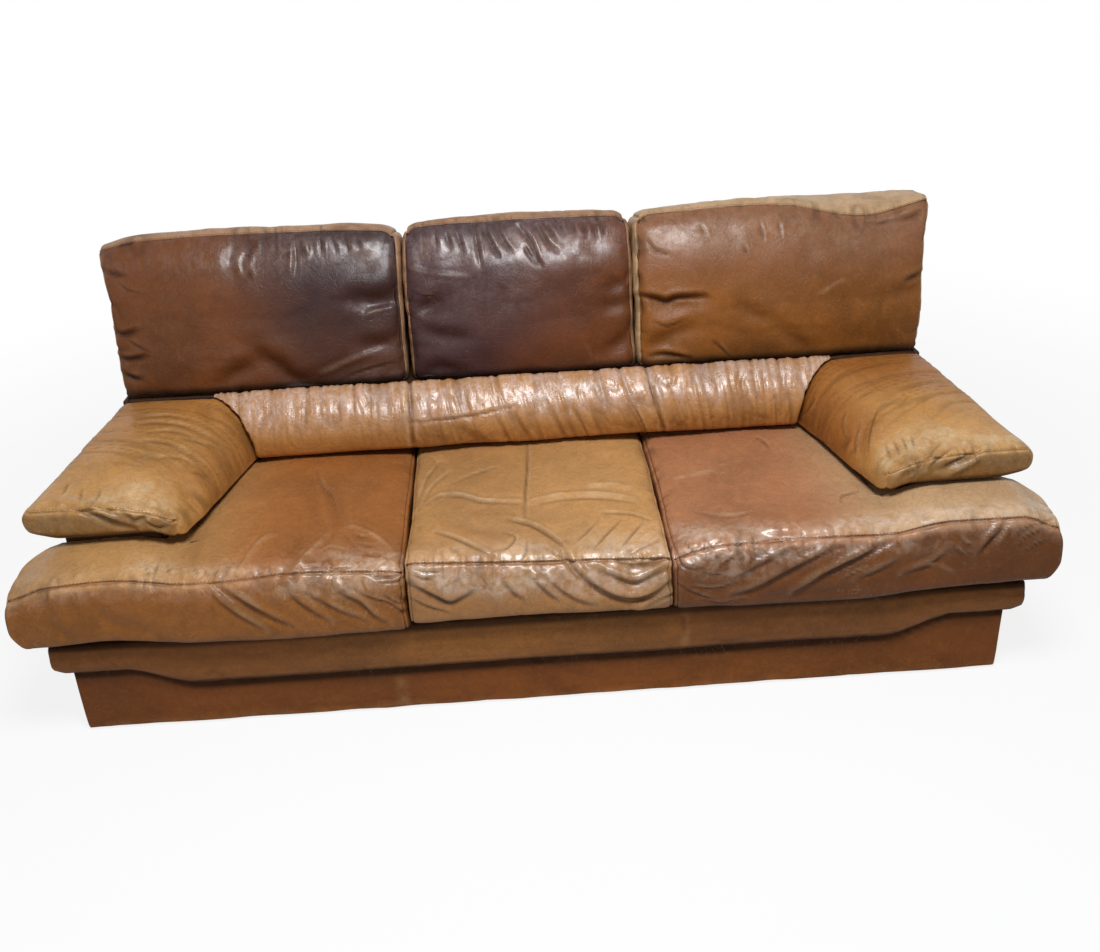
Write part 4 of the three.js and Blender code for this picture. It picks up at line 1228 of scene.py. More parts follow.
def pleats(x, z):
    """The depth of the gathers, from 0 on their ridges to 1 in their valleys."""
    fine = np.linspace(-0.76, 0.76, 400)
    turns = np.concatenate([[0], np.cumsum(np.diff(fine) / follow(PLEAT_PITCH, fine[1:]))])
    lean = np.interp(x, fine, follow(PLEAT_LEAN, fine)) * (BOLSTER_TOP - z)
    turn = np.interp(x - lean, fine, turns)
    place = stacked(turn, z / 0.11, 0.0)
    strength = np.clip(0.6 + 0.7 * noise(stacked(turn, z / 0.07, 2.0), 1.3, 63), 0.1, 1)
    large = creased(place, 1.0, 61, 0.30)
    small = creased(place * [1, 1.3, 1], 0.5, 62, 0.30)
    return np.clip(strength * large + 0.5 * (1.15 - strength) * small, 0, 1)


def bolster():
    block = Block(
        spread(-BOLSTER_HALF, BOLSTER_HALF, BOLSTER_STEP),
        np.linspace(BOLSTER_HEAD - BOLSTER_EDGE, BOLSTER_BACK, BOLSTER_ROWS),
        spread(BOLSTER_BOTTOM, BOLSTER_TOP, BOLSTER_LEVEL_STEP, BOLSTER_EDGE),
        BOLSTER_EDGE / 2,
    )
    x, y, z = block.point.T
    up = (z - BOLSTER_BOTTOM) / (BOLSTER_TOP - BOLSTER_BOTTOM)
    face = mix(BOLSTER_FOOT, BOLSTER_HEAD, up * up) - BOLSTER_BULGE * np.sin(math.pi * up)
    to_front = (BOLSTER_BACK - y) / (BOLSTER_BACK - block.low[1])
    placed = mix(BOLSTER_BACK, face, to_front)
    half = np.minimum(BOLSTER_HALF, pad_face(placed, z - BOLSTER_END_GAP) - BOLSTER_END_GAP)
    at_top = smooth(0.2, 1, block.place[:, 2])
    sink = BOLSTER_FALL * at_top * smooth(0.65, 0.25, to_front)
    surface = Surface(stacked(x * half / BOLSTER_HALF, placed, z - sink), block.quads)
    across, _, height = surface.points.T
    surface.unevenness(60, BOLSTER_UNEVEN)
    shown = smooth(0.05, 0.4, to_front) * smooth(-0.02, 0.12, up)
    fade = shown * mix(1.0, smooth(-0.1, 0.75, up), smooth(-0.15, -0.35, across))
    valley = pleats(across, height) * fade
    surface.push(PLEAT_DEPTH * (0.3 - valley))
    # Painted shade in the pleats' valleys.
    surface.darken(0.5 * valley)
    for seam in BOLSTER_SEAMS:
        distance = np.abs(across - seam + BOLSTER_SEAM_LEAN * (height - BOLSTER_TOP) * (seam > 0))
        groove = close_to(distance, BOLSTER_SEAM_WIDTH) * shown
        surface.push(-BOLSTER_SEAM_DEPTH * groove)
        surface.darken(0.75 * groove)
        # A paler line beside the seam: a painted highlight on the welt, partly wear.
        surface.lighten(0.3 * close_to(distance - BOLSTER_WELT_PLACE, BOLSTER_WELT_WIDTH) * shown)
    press_folds(surface, BOLSTER_FOLDS)
    # Gloss with painted sheen over the upper front.
    surface.set("gloss_and_painted_sheen", 0.75 * smooth(0.35, 0.8, up) * smooth(0.2, 0.6, to_front))
    surface.set("tone", smooth(0.45, 0.0, up))
    return surface


# Back cushions
BACK_DEPTH = 0.148
BACK_FRONT = 0.592
BACK_TOP = 0.888
BACK_BOTTOM = BACK_LOW.z
BACK_LEAN = math.tan(math.radians(15.5))
BACK_CROWN = 0.026
BACK_CORNER, BACK_DROP = 0.011, 0.025
BACK_FOOT_REACH, BACK_TOP_REACH = 0.948, 0.963
BACK_WIDEN = 0.200
BACK_EDGE = 0.012
BACK_STEP, BACK_DEPTH_STEP = 0.0052, 0.008
BACK_UNEVEN = 0.0045
BACK_DIMPLES, BACK_DIMPLE_DEPTH = (0.09, 0.09, 0.05), 0.0014
BACK_PIPE_PLACE, BACK_PIPE_WIDTH = 0.006, 0.004
BACK_NOSE, BACK_TOE = 0.038, 0.020
BACK_INNER_SIDE, BACK_OUTER_SIDE = 0.030, 0.014
BACK_ROLL, BACK_ROLL_RISE = 0.032, 0.006
BACK_EAR, BACK_EAR_WIDTH = 0.013, 0.075
BACK_BELLY, BACK_FOOT_TUCK = 0.42, 0.008
BACK_TOP_CORNER, BACK_OUTER_CORNER = 0.040, 0.004


def back_cushion(start, end, folds, shine, seed, top_line, slump=(), flare=0.0):
    block = Block(
        spread(start, end, BACK_STEP, BACK_EDGE), spread(0, BACK_DEPTH, BACK_DEPTH_STEP, BACK_EDGE),
        spread(BACK_BOTTOM, BACK_TOP, BACK_STEP, BACK_EDGE), BACK_EDGE,
    )
    x, y, z = block.point.T
    y, z = round_corner(y, z, 0, BACK_TOP, BACK_NOSE)
    y, z = round_corner(y, z, 0, BACK_BOTTOM, BACK_TOE)
    for side in (start, end):
        inner = abs(side) < 0.5 * BACK_FOOT_REACH
        corner = BACK_TOP_CORNER if inner else BACK_OUTER_CORNER
        x, y = round_corner(x, y, side, 0, BACK_INNER_SIDE if inner else BACK_OUTER_SIDE)
        x, z = round_corner(x, z, side, BACK_TOP, corner)
        x, z = round_corner(x, z, side, BACK_BOTTOM, BACK_OUTER_CORNER)
    px, py, _ = block.place.T
    across = np.sqrt(np.clip(1 - px * px, 0, 1))
    up = (z - BACK_BOTTOM) / (BACK_TOP - BACK_BOTTOM)
    forward = 1 - np.clip(y / BACK_DEPTH, 0, 1)
    belly = np.where(up > BACK_BELLY, (up - BACK_BELLY) / (1 - BACK_BELLY), (BACK_BELLY - up) / BACK_BELLY)
    crown = BACK_CROWN * across * np.sqrt(np.clip(1 - belly * belly, 0, 1)) * np.maximum(0, -py)
    roll = smooth(0.60, 1.02, up) ** 1.5 * forward
    tuck = BACK_FOOT_TUCK * smooth(0.30, 0.0, up) * forward
    middle = abs(start + end) / 2
    outer_end = (np.abs(x) > middle) & (middle > EDGE)
    sag = BACK_CORNER * (1 - across) * np.where(outer_end, 0, 1) + BACK_DROP * (y / BACK_DEPTH)
    height = z - sag * up * up + BACK_ROLL_RISE * roll
    outward = np.sign(x) * np.clip((np.abs(x) - SEAT_HALF - SEAT_GAP) / BACK_WIDEN, 0, 1)
    ear = np.where(outer_end, hump(0, BACK_EAR_WIDTH, BACK_TOP - z), 0)
    widen = ((BACK_TOP_REACH - BACK_FOOT_REACH + flare) * up + BACK_EAR * ear) * outward
    height = height + follow(top_line, x) * smooth(0.6, 1, up)
    lower = 0
    for place, width, depth in slump:
        lower = lower + depth * hump(place, width, x)
    height = height - lower * forward**1.4 * smooth(0.55, 1.0, up)
    lean = (height - LEDGE_TOP) * BACK_LEAN
    points = stacked(x + widen, BACK_FRONT + y - crown + lean + BACK_ROLL * roll + tuck, height)
    surface = Surface(points, block.quads)
    surface.unevenness(seed, BACK_UNEVEN)
    surface.dimple(BACK_DIMPLES, BACK_DIMPLE_DEPTH, seed + 13, dark=0.12)
    front_top = block.from_edge(y=-1, z=1)
    surface.gather(x, front_top, *BACK_TOP_GATHER, seed + 3)
    for side in (-1, 1):
        surface.gather(z, block.from_edge(x=side, y=-1), *BACK_SIDE_GATHER, seed + 5 + side)
    surface.gather(x, block.from_edge(y=-1, z=-1), *BACK_FOOT_GATHER, seed + 9)
    surface.gather(x, block.from_edge(y=1, z=1), *BACK_REAR_GATHER, seed + 11)
    press_folds(surface, folds)
    edges = [front_top, block.from_edge(y=1, z=1), block.from_edge(y=-1, z=-1)]
    edges += [block.from_edge(x=side, y=face) for side in (-1, 1) for face in (-1, 1)]
    for edge in edges:
        surface.sew(edge, dark=0.3)
    for side in (-1, 1):
        beside = block.from_edge(x=side, y=-1)
        surface.lighten(0.35 * close_to(beside - BACK_PIPE_PLACE, BACK_PIPE_WIDTH))
    # Painted shade on the sides and along the foot.
    shade_gaps(surface, block, edge=0.04, foot=0.035)
    # Painted shade, patchy, darker towards the foot of the cushion.
    patchy = smooth(0.3, 0.9, 0.5 + noise(surface.points, 0.11, seed + 15))
    surface.darken(0.5 * smooth(0.30, 0.0, up) * patchy)
    on_face = smooth(0.008, 0.001, block.flat[:, 1])
    surface.set("border", 1 - on_face)
    # Gloss with painted sheen along the top front edge, and spots of painted sheen.
    surface.set("gloss_and_painted_sheen", 0.35 * close_to(front_top, BORDER_SHEEN_BAND) * on_face)
    paint_sheen_spots(surface, shine)
    surface.lines.append(stitch_line(surface, block))
    return surface


# Base and frame covers
PLINTH_SEAM = -0.304
ROLL_SEAM = 0.302
ROLL_LOW, ROLL_HIGH = section_box("front_roll")
ROLL_FROM, ROLL_TO = 0.735, 0.885
ROLL_RISE, ROLL_END_RISE = 0.046, 0.008
ROLL_SIDE = 0.031
ROLL_BULGE = 0.014
SIDE_ROLL_LOW = section_box("side_roll_right")[0].z
SIDE_ROLL_TOP = section_box("side_roll_right")[1].z
PLINTH_SIDE = (1.000, 0.940)
PLINTH_STEP, PLINTH_RISE = 0.020, 0.005
FOOT_SCUFF, FOOT_WRINKLES = 0.012, 0.05
ROLL_SHADE = (0.036, 0.022)
ROLL_ROUND, ROLL_END_ROUND, SIDE_ROLL_ROUND = 0.008, 0.018, 0.012
ROLL_STEP, ROLL_ACROSS_STEP = 0.0045, 0.0085
SIDE_ROLL_STEP, SIDE_ROLL_DEPTH_STEP = 0.006, 0.014
JOIN_WIDTH, JOIN_DEPTH = 0.0022, 0.0016
JOIN_RUB_PLACE, JOIN_RUB_WIDTH = 0.005, 0.004
BOARD_CROWN = 0.0015


def corners_of(node):
    """A board's eight corners in the section frame, as an array indexed by side in x, y and z."""
    points = np.array([v.co for v in frame["nodes"][node].data.vertices], float) - [0, FRONT_SEAM, 0]
    points = np.unique(np.round(points, 5), axis=0)
    order = np.argsort(points[:, 2] - 0.02 * points[:, 1], kind="stable")
    corners = np.zeros((2, 2, 2, 3))
    for top, level in enumerate((points[order[:4]], points[order[4:]])):
        level = level[np.argsort(level[:, 1], kind="stable")]
        for back, row in enumerate((level[:2], level[2:])):
            corners[:, back, top] = row[np.argsort(row[:, 0], kind="stable")]
    return corners


def board_surface(node, radius=0.006, step=0.012, crown=0.0, seed=0, rise=None):
    """The CAD board under leather, with soft edges and a little padding. `rise` is its upright step."""
    corners = corners_of(node)
    size = [np.linalg.norm(corners[end] - corners[0, 0, 0]) for end in ((1, 0, 0), (0, 1, 0), (0, 0, 1))]
    radius = min(radius, 0.42 * min(size))
    steps = (step, step, rise or step)
    block = Block(*(spread(0, length, pace, radius) for length, pace in zip(size, steps)), radius)
    shares = block.point / size
    points = np.zeros_like(block.point)
    for corner in np.ndindex(2, 2, 2):
        weight = np.prod(np.where(corner, shares, 1 - shares), axis=1)
        points += weight[:, None] * corners[corner]
    surface = Surface(points, block.quads)
    px, py, pz = block.place.T
    dome = np.ones(len(px))
    for place, length in zip((px, py, pz), size):
        if length > 0.05:
            dome = dome * (1 - np.abs(place) ** 6)
    surface.push(crown * dome + 0.0006 * noise(points, 0.05, seed + 1))
    return surface, block


def plinth_front_cover():
    surface, _ = board_surface("plinth_front", 0.007, PLINTH_STEP, BOARD_CROWN, 90, rise=PLINTH_RISE)
    x, _, z = surface.points.T
    above_floor = z - PLINTH_LOW.z
    surface.push(0.0012 * noise(surface.points, (0.07, 0.07, 0.05), 92))
    surface.lighten(0.35 * close_to(above_floor, FOOT_SCUFF))
    at_foot = close_to(above_floor, FOOT_WRINKLES)
    surface.crumple((0.05, 0.05, 0.02), 0.0007, 94, where=at_foot, dark=0.2)
    # Painted shadow on the plinth under the roll's lower edge.
    under_roll = ROLL_LOW.z + roll_lift(x) - z
    surface.darken(0.95 * smooth(*ROLL_SHADE, under_roll))
    surface.set("tone", 0.5 * smooth(0.5, -0.3, x) + 0.5 * smooth(0.7, 1.0, np.abs(x)))
    join_seam(surface, PLINTH_SEAM)
    return surface


def plinth_side(y):
    return mix(*PLINTH_SIDE, (y - PLINTH_SETBACK) / (SIDE_HIGH.y - PLINTH_SETBACK))


def roll_lift(x):
    """How far the roll's lower edge rises towards its ends."""
    at_end = smooth(ROLL_HIGH.x - ROLL_SIDE, ROLL_HIGH.x, np.abs(x))
    return ROLL_RISE * smooth(ROLL_FROM, ROLL_TO, np.abs(x)) + ROLL_END_RISE * at_end


def join_seam(surface, place, pale=0.6):
    """An upright seam where two hides are joined, rubbed pale beside it."""
    distance = np.abs(surface.points[:, 0] - place + 0.003 * np.sin(surface.points[:, 2] * 40))
    groove = close_to(distance, JOIN_WIDTH)
    surface.push(-JOIN_DEPTH * groove)
    surface.darken(0.4 * groove)
    surface.lighten(pale * close_to(distance - JOIN_RUB_PLACE, JOIN_RUB_WIDTH))


def front_roll():
    half = ROLL_HIGH.x
    block = Block(
        spread(-half, half, ROLL_ACROSS_STEP, ROLL_END_ROUND),
        spread(ROLL_LOW.y, ROLL_HIGH.y, ROLL_STEP, ROLL_ROUND),
        spread(ROLL_LOW.z, ROLL_HIGH.z, ROLL_STEP, ROLL_ROUND),
        ROLL_ROUND,
    )
    x, y, z = block.point.T
    up = (z - ROLL_LOW.z) / (ROLL_HIGH.z - ROLL_LOW.z)
    lift = roll_lift(x)
    forward = 1 - (y - ROLL_LOW.y) / (ROLL_HIGH.y - ROLL_LOW.y)
    bulge = ROLL_BULGE * np.sin(math.pi * np.clip(up * 0.92 + 0.08, 0, 1)) ** 0.8 * forward
    points = stacked(x, y - bulge, mix(z + lift, z, up))
    surface = Surface(points, block.quads)
    surface.unevenness(80, 0.0016)
    surface.gather(x, block.from_edge(y=-1, z=-1), *ROLL_GATHER, 83)
    surface.crumple((0.05, 0.05, 0.012), 0.0008, 84, dark=0.12)
    # Painted shade on the roll's top under the cushions and along its lower edge.
    surface.darken(0.9 * smooth(0.78, 0.90, up))
    surface.darken(0.9 * smooth(0.15, 0.05, up))
    join_seam(surface, ROLL_SEAM, 0.3)
    surface.set("tone", np.maximum(smooth(0.6, 0.1, np.abs(x + 0.1)), 0.3 * smooth(0.3, 0.8, x)))
    return surface


def side_roll(side, seed):
    """The roll along one side of the base. It starts behind the front roll."""
    block = Block(
        spread(TOUCH, ROLL_SIDE, SIDE_ROLL_STEP, SIDE_ROLL_ROUND),
        spread(PLINTH_SETBACK, SIDE_HIGH.y, SIDE_ROLL_DEPTH_STEP, SIDE_ROLL_ROUND),
        spread(SIDE_ROLL_LOW, SIDE_ROLL_TOP, SIDE_ROLL_STEP, SIDE_ROLL_ROUND),
        SIDE_ROLL_ROUND,
    )
    x, y, z = block.point.T
    surface = Surface(stacked(x + plinth_side(y), y, z), block.quads)
    if side == "left":
        surface.mirror()
    surface.unevenness(seed, 0.0014)
    surface.crumple((0.02, 0.05, 0.05), 0.0008, seed + 1, dark=0.12)
    return surface


# Seam thread
STITCH_INSET, STITCH_LIFT = 0.0065, 0.0002
STITCH_SIZES = {"Pitch": 0.0075, "Length": 0.0052, "Thickness": 0.0011}


def stitch_tree():
    """Geometry Nodes: a row of short stitches along a path, with the identifiers of its inputs."""
    tree = bpy.data.node_groups.new("stitches", "GeometryNodeTree")
    inputs = {
        "Path": "Geometry", "Pitch": "Float", "Length": "Float", "Thickness": "Float", "Thread": "Material",
    }
    sockets = {}
    for name, kind in inputs.items():
        socket = tree.interface.new_socket(name, in_out="INPUT", socket_type=f"NodeSocket{kind}")
        sockets[name] = socket.identifier
    tree.interface.new_socket("Stitches", in_out="OUTPUT", socket_type="NodeSocketGeometry")
    g = Graph(tree)
    given = tree.nodes.new("NodeGroupInput")
    path, pitch, length, thickness, thread = (Wire(g, given.outputs[name]) for name in inputs)
    curve = g.node("GeometryNodeMeshToCurve", {}, {"Mesh": path})
    even = g.node("GeometryNodeResampleCurve", {"mode": "LENGTH"}, {"Curve": curve, "Length": pitch})
    knot = g.node("GeometryNodeMeshUVSphere", {}, {"Segments": 6, "Rings": 5, "Radius": 0.5})
    size = g.node("ShaderNodeCombineXYZ", {}, {"X": thickness, "Y": thickness, "Z": length})
    along = g.node("GeometryNodeInputTangent", {}, {})
    turn = g.node("FunctionNodeAlignRotationToVector", {"axis": "Z"}, {"Vector": along})
    placing = {"Points": even, "Instance": knot, "Rotation": turn, "Scale": size}
    placed = g.node("GeometryNodeInstanceOnPoints", {}, placing)
    real = g.node("GeometryNodeRealizeInstances", {}, {"Geometry": placed})
    done = g.node("GeometryNodeSetMaterial", {}, {"Geometry": real, "Material": thread})
    g.feed(tree.nodes.new("NodeGroupOutput").inputs["Stitches"], done)
    return tree, sockets


def sew_thread(name, points, tree, sockets, thread):
    """One row of stitches, as a plain mesh that lies on its cushion."""
    mesh = bpy.data.meshes.new(name)
    edges = [(i, i + 1) for i in range(len(points) - 1)]
    mesh.from_pydata((points + [0, FRONT_SEAM, 0]).tolist(), edges, [])
    row = bpy.data.objects.new(name, mesh)
    bpy.context.scene.collection.objects.link(row)
    modifier = row.modifiers.new("stitches", "NODES")
    modifier.node_group = tree
    for key, value in {**STITCH_SIZES, "Thread": thread}.items():
        modifier[sockets[key]] = value
    graph = bpy.context.evaluated_depsgraph_get()
    made = bpy.data.meshes.new_from_object(row.evaluated_get(graph))
    row.modifiers.clear()
    row.data = made
    made.materials.clear()
    made.materials.append(thread)
    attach(row, "root")


# What the leathers of the two dark back cushions share
OLD_BACK = {
    "rough": 0.40, "gloss": 0.2, "mottle": 1.6, "grain": 0.8, "sheen_paint": 0.25, "sheen_paint_colour": "a8949c",
    "streaky": 0.3, "coat": 0.5,
}

# Every leather, with its colours as they are seen
LEATHERS = {
    "seat_leather_left": {
        "body": "9f6434", "deep": "2a1408", "pale": "e4c8a0", "second": "c29660", "border": "865220",
        "rough": 0.33, "gloss": 0.2, "sheen_paint": 0.5, "sheen_paint_colour": "dcc4ac",
    },
    "seat_leather_centre": {
        "body": "c0905a", "deep": "341a08", "pale": "f4e2c0", "second": "9e6a3c", "border": "96683a",
        "rough": 0.33, "sheen_paint": 0.45, "sheen_paint_colour": "dcc4b4", "coat": 0.9,
    },
    "seat_leather_right": {
        "body": "ab7450", "deep": "241006", "pale": "e4c8a4", "second": "caa47a", "border": "683a14",
        "rough": 0.33, "gloss": 0.2, "sheen_paint": 0.5, "sheen_paint_colour": "dcc4b0",
    },
    "arm_leather": {
        "body": "bf8b4c", "deep": "2e160a", "pale": "ead2a4", "second": "985c28", "border": "8e6430",
        "rough": 0.34, "sheen_paint": 0.3, "sheen_paint_colour": "e8dcb8", "coat": 0.6,
    },
    "bolster_leather": {
        "body": "b07c46", "deep": "3c1c08", "pale": "f0dcb8", "second": "b2783c",
        "rough": 0.30, "gloss": 0.35, "sheen_paint": 0.65, "sheen_paint_colour": "dac6c2", "streaky": 0.5, "coat": 0.55,
    },
    "back_leather_left": {
        "body": "6e3e1c", "deep": "160904", "pale": "b08864", "second": "331d1c", "border": "b08868",
        **OLD_BACK,
    },
    "back_leather_centre": {
        "body": "693a1c", "deep": "160a07", "pale": "b08864", "second": "42292a", "border": "a67c5a",
        **OLD_BACK,
    },
    "back_leather_right": {
        "body": "85501e", "deep": "201006", "pale": "c0986c", "second": "86583a", "border": "c4a078",
        "rough": 0.40, "gloss": 0.2, "mottle": 1.5, "grain": 0.8, "sheen_paint": 0.25, "sheen_paint_colour": "bca48c",
        "coat": 0.35,
    },
    "roll_leather": {
        "body": "7c4c24", "deep": "180a02", "pale": "c8a070", "second": "8c5a2c",
        "rough": 0.44, "gloss": 0.12, "mottle": 1.4, "grain": 0.7,
    },
    "plinth_leather": {
        "body": "804a20", "deep": "1a0c03", "pale": "b89060", "second": "70401e",
        "rough": 0.55, "gloss": 0.10, "mottle": 1.5, "grain": 0.7,
    },
    "panel_leather": {
        "body": "7e4c26", "deep": "1c0f06", "pale": "b08a60", "second": "5c3a22",
        "rough": 0.46, "gloss": 0.2, "grain": 0.7,
    },
}


# How tightly a cover is filled
SLACK, FIRM = 0.7, 0.8

# The back cushions: where the outer ones start and end, and how their tops run and sag
OUTER_BACK = (SEAT_HALF + SEAT_GAP, BACK_FOOT_REACH)
RIGHT_SLUMP = [(0.79, 0.14, 0.044)]
RIGHT_FLARE = 0.012
LEFT_BACK_TOP = [
    (-0.963, -0.014), (-0.91, -0.002), (-0.86, 0.009), (-0.70, 0.011), (-0.47, 0.011), (-0.32, 0.006),
    (-0.27, 0.002),
]
CENTRE_BACK_TOP = [(-0.27, 0.008), (0.0, 0.009), (0.27, 0.009)]
RIGHT_BACK_TOP = [(0.27, 0.008), (0.35, 0.007), (0.47, 0.010), (0.963, 0.011)]

# The boards that a plain leather cover goes over, each with the step of its mesh
COVERED_BOARDS = {
    "plinth_back": 0.03,
    "plinth_side_left": 0.016,
    "plinth_side_right": 0.016,
    "arm_front_panel_left": 0.016,
    "arm_front_panel_right": 0.016,
    "arm_inner_panel_left": 0.03,
    "arm_inner_panel_right": 0.03,
    "arm_side_panel_left": 0.016,
    "arm_side_panel_right": 0.016,
    "lumbar_board": 0.04,
    "back_ledge": 0.04,
    "back_side_panel_left": 0.02,
    "back_side_panel_right": 0.02,
    "rear_panel_lower": 0.04,
    "rear_panel_upper": 0.04,
    "back_rest_panel": 0.04,
    "back_cap": 0.02,
    "back_end_panel_left": 0.02,
    "back_end_panel_right": 0.02,
}
# Boards that lie in shade, painted near black as shade
SHADED_BOARDS = ("back_ledge", "lumbar_board", "arm_front_panel_left", "arm_front_panel_right")


def make_upholstery():
    finish = {slot: leather(slot, **look) for slot, look in LEATHERS.items()}
    tree, sockets = stitch_tree()
    thread = thread_finish()

    def piece(name, surface, node, slot, fill=None):
        make_piece(name, surface, finish[slot], [node])
        for points in surface.lines:
            sew_thread(name.replace("cover", "thread"), points, tree, sockets, thread)

    left = outer_seat("left", LEFT_SEAM_LINE, LEFT_FOOT_LINE, LEFT_SEAT_FOLDS, LEFT_SEAT_SHINE, 21)
    right = outer_seat("right", RIGHT_SEAM_LINE, RIGHT_FOOT_LINE, RIGHT_SEAT_FOLDS, RIGHT_SEAT_SHINE, 31)
    piece("left_seat_cover", left, "seat_cushion_left", "seat_leather_left", SLACK)
    piece("centre_seat_cover", centre_seat(), "seat_cushion_centre", "seat_leather_centre", SLACK)
    piece("right_seat_cover", right, "seat_cushion_right", "seat_leather_right", SLACK)
    left = arm_pad("left", LEFT_ARM_FOLDS, LEFT_ARM_SHINE, 41)
    right = arm_pad("right", RIGHT_ARM_FOLDS, RIGHT_ARM_SHINE, 46)
    piece("left_arm_cover", left, "arm_cushion_left", "arm_leather", FIRM)
    piece("right_arm_cover", right, "arm_cushion_right", "arm_leather", FIRM)
    piece("bolster_cover", bolster(), "lumbar_bolster", "bolster_leather", FIRM)
    start, end = OUTER_BACK
    back = back_cushion(-end, -start, LEFT_BACK_FOLDS, LEFT_BACK_SHINE, 71, LEFT_BACK_TOP)
    x, _, z = back.points.T
    across = smooth(-0.82, -0.42, x + 0.06 * noise(back.points, 0.12, 73))
    back.set("tone", across * mix(0.7, 1, smooth(0.6, 0.75, z)))
    piece("left_back_cover", back, "back_cushion_left", "back_leather_left", SLACK)
    back = back_cushion(-SEAT_HALF, SEAT_HALF, CENTRE_BACK_FOLDS, CENTRE_BACK_SHINE, 74, CENTRE_BACK_TOP)
    x, _, z = back.points.T
    back.set("tone", smooth(0.25, -0.15, x - 0.6 * (z - 0.72) + 0.05 * noise(back.points, 0.1, 76)))
    piece("centre_back_cover", back, "back_cushion_centre", "back_leather_centre", SLACK)
    slumped = (RIGHT_BACK_TOP, RIGHT_SLUMP, RIGHT_FLARE)
    back = back_cushion(start, end, RIGHT_BACK_FOLDS, RIGHT_BACK_SHINE, 77, *slumped)
    back.set("tone", smooth(0.68, 0.82, back.points[:, 2]))
    piece("right_back_cover", back, "back_cushion_right", "back_leather_right", SLACK)
    piece("front_roll_cover", front_roll(), "front_roll", "roll_leather", FIRM)
    piece("left_side_roll_cover", side_roll("left", 86), "side_roll_left", "roll_leather", FIRM)
    piece("right_side_roll_cover", side_roll("right", 87), "side_roll_right", "roll_leather", FIRM)
    piece("plinth_front_cover", plinth_front_cover(), "plinth_front", "plinth_leather")
    for number, (node, step) in enumerate(COVERED_BOARDS.items()):
        slot = "plinth_leather" if node.startswith("plinth") else "panel_leather"
        board, block = board_surface(node, step=step, crown=BOARD_CROWN, seed=100 + number)
        # Painted shade over the whole board.
        if node in SHADED_BOARDS:
            board.darken(0.95)
        # Painted shade along the top of the back boards.
        if node.startswith("back_"):
            board.darken(0.9 * smooth(0.7, 1.0, block.place[:, 2]))
        piece(f"{node}_cover", board, node, slot)


def finish_frame():
    """The finish of each CAD node that shows as it is, by its material slot."""
    finish = {
        "timber": timber_finish(),
        "webbing": woven_finish("webbing", "4c4238", "352e27", 0.004),
        "lining_cloth": woven_finish("lining_cloth", "26231f", "1b1917", 0.002),
        "glide_plastic": plastic_finish(),
    }
    for part in frame["record"]["subparts"]:
        if part["material_slot"] in finish:
            node = frame["nodes"][part["node"]]
            for slot in node.material_slots:
                slot.material = finish[part["material_slot"]]


# Studio
KEY_PLACE, KEY_AIM = (0.15, -1.15, 3.1), (0.0, 0.25, 0.45)
KEY_SIZE, KEY_POWER = (1.1, 0.8), 92
FILL_PLACE, FILL_AIM = (-1.8, -2.6, 1.6), (0.0, 0.2, 0.4)
FILL_SIZE, FILL_POWER = (2.0, 1.6), 12
KEY_COLOUR, FILL_COLOUR = (0.97, 0.98, 1.0), (1.0, 0.98, 0.96)
AMBIENT = 0.20
FLOOR_SIZE = 14
FLOOR_COLOUR = (0.86, 0.86, 0.86, 1)
FLOOR_FADE = (1.3, 3.2)
FLOOR_GLOW = 0.85


def lamp(name, place, aim, size, power, colour):
    data = bpy.data.lights.new(name, "AREA")
    data.shape = "RECTANGLE"
    data.size, data.size_y = size
    data.energy = power
    data.color = colour
    made = bpy.data.objects.new(name, data)
    bpy.context.scene.collection.objects.link(made)
    place = Vector(place) + Vector((0, FRONT_SEAM, 0))
    aim = Vector(aim) + Vector((0, FRONT_SEAM, 0))
    made.location = place
    made.rotation_euler = (aim - place).to_track_quat("-Z", "Y").to_euler()


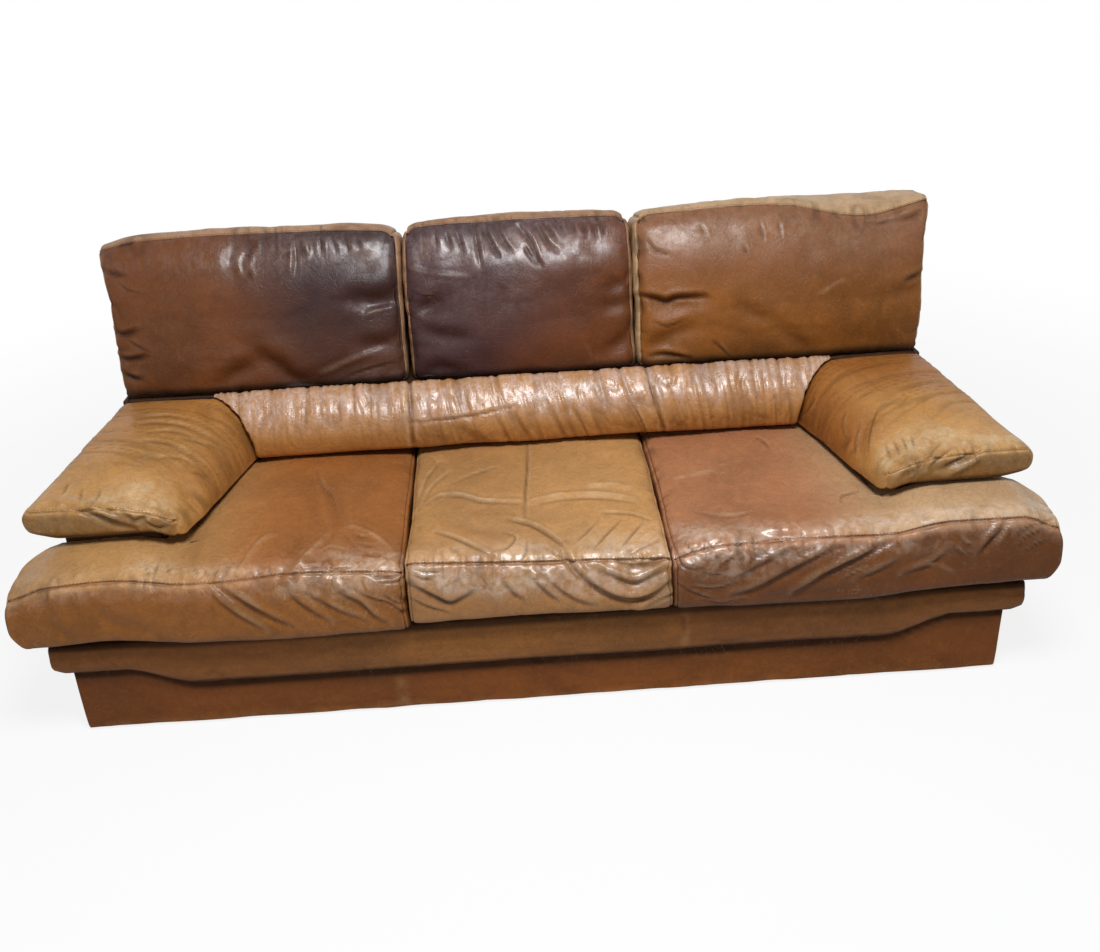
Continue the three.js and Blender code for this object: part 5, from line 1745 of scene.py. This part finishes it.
def light_world():
    world = bpy.data.worlds.new("studio")
    world.use_nodes = True
    bpy.context.scene.world = world
    g = Graph(world.node_tree)
    seen = g.ray("Is Camera Ray").math("MAXIMUM", g.ray("Is Glossy Ray"))
    seen = seen.math("MAXIMUM", g.ray("Is Transmission Ray"))
    background = world.node_tree.nodes["Background"]
    g.feed(background.inputs["Color"], (1, 1, 1, 1))
    g.feed(background.inputs["Strength"], seen * (1 - AMBIENT) + AMBIENT)


def floor_finish():
    """Pale and matt. Away from the sofa the camera sees it white."""
    f = Finish("studio_floor")
    f.done(Base_Color=FLOOR_COLOUR, Roughness=0.9, Specular_IOR_Level=0.0)
    away = f.node("ShaderNodeVectorMath", {"operation": "LENGTH"}, {0: f.here}, output="Value")
    glow = f.ray("Is Camera Ray") * (away.between(*FLOOR_FADE) * (1 - FLOOR_GLOW) + FLOOR_GLOW)
    white = f.node("ShaderNodeEmission", {}, {})
    shader = f.node("ShaderNodeMixShader", {}, {0: glow, 1: Wire(f, f.shader.outputs[0]), 2: white})
    f.feed(f.tree.nodes["Material Output"].inputs["Surface"], shader)
    return f.material


def add_floor():
    mesh = bpy.data.meshes.new("studio_floor")
    half = FLOOR_SIZE / 2
    corners = [(-half, -half, 0), (half, -half, 0), (half, half, 0), (-half, half, 0)]
    mesh.from_pydata(corners, [], [(0, 1, 2, 3)])
    mesh.materials.append(floor_finish())
    floor = bpy.data.objects.new("studio_floor", mesh)
    bpy.context.scene.collection.objects.link(floor)


def add_camera():
    right, up, forward = camera_axes()
    data = bpy.data.cameras.new("camera")
    data.sensor_width = SENSOR_WIDTH
    data.lens = FOCAL_PIXELS / PHOTO_WIDTH * SENSOR_WIDTH
    camera = bpy.data.objects.new("camera", data)
    bpy.context.scene.collection.objects.link(camera)
    place = Vector(EYE) + Vector((0, FRONT_SEAM, 0))
    turn = Matrix([list(row) for row in np.stack([right, up, -forward], 1)])
    camera.matrix_world = Matrix.Translation(place) @ turn.to_4x4()
    bpy.context.scene.camera = camera


add_camera()
make_upholstery()
finish_frame()
lamp("key_light", KEY_PLACE, KEY_AIM, KEY_SIZE, KEY_POWER, KEY_COLOUR)
lamp("fill_light", FILL_PLACE, FILL_AIM, FILL_SIZE, FILL_POWER, FILL_COLOUR)
light_world()
add_floor()
bpy.context.scene.view_settings.view_transform = "Standard"
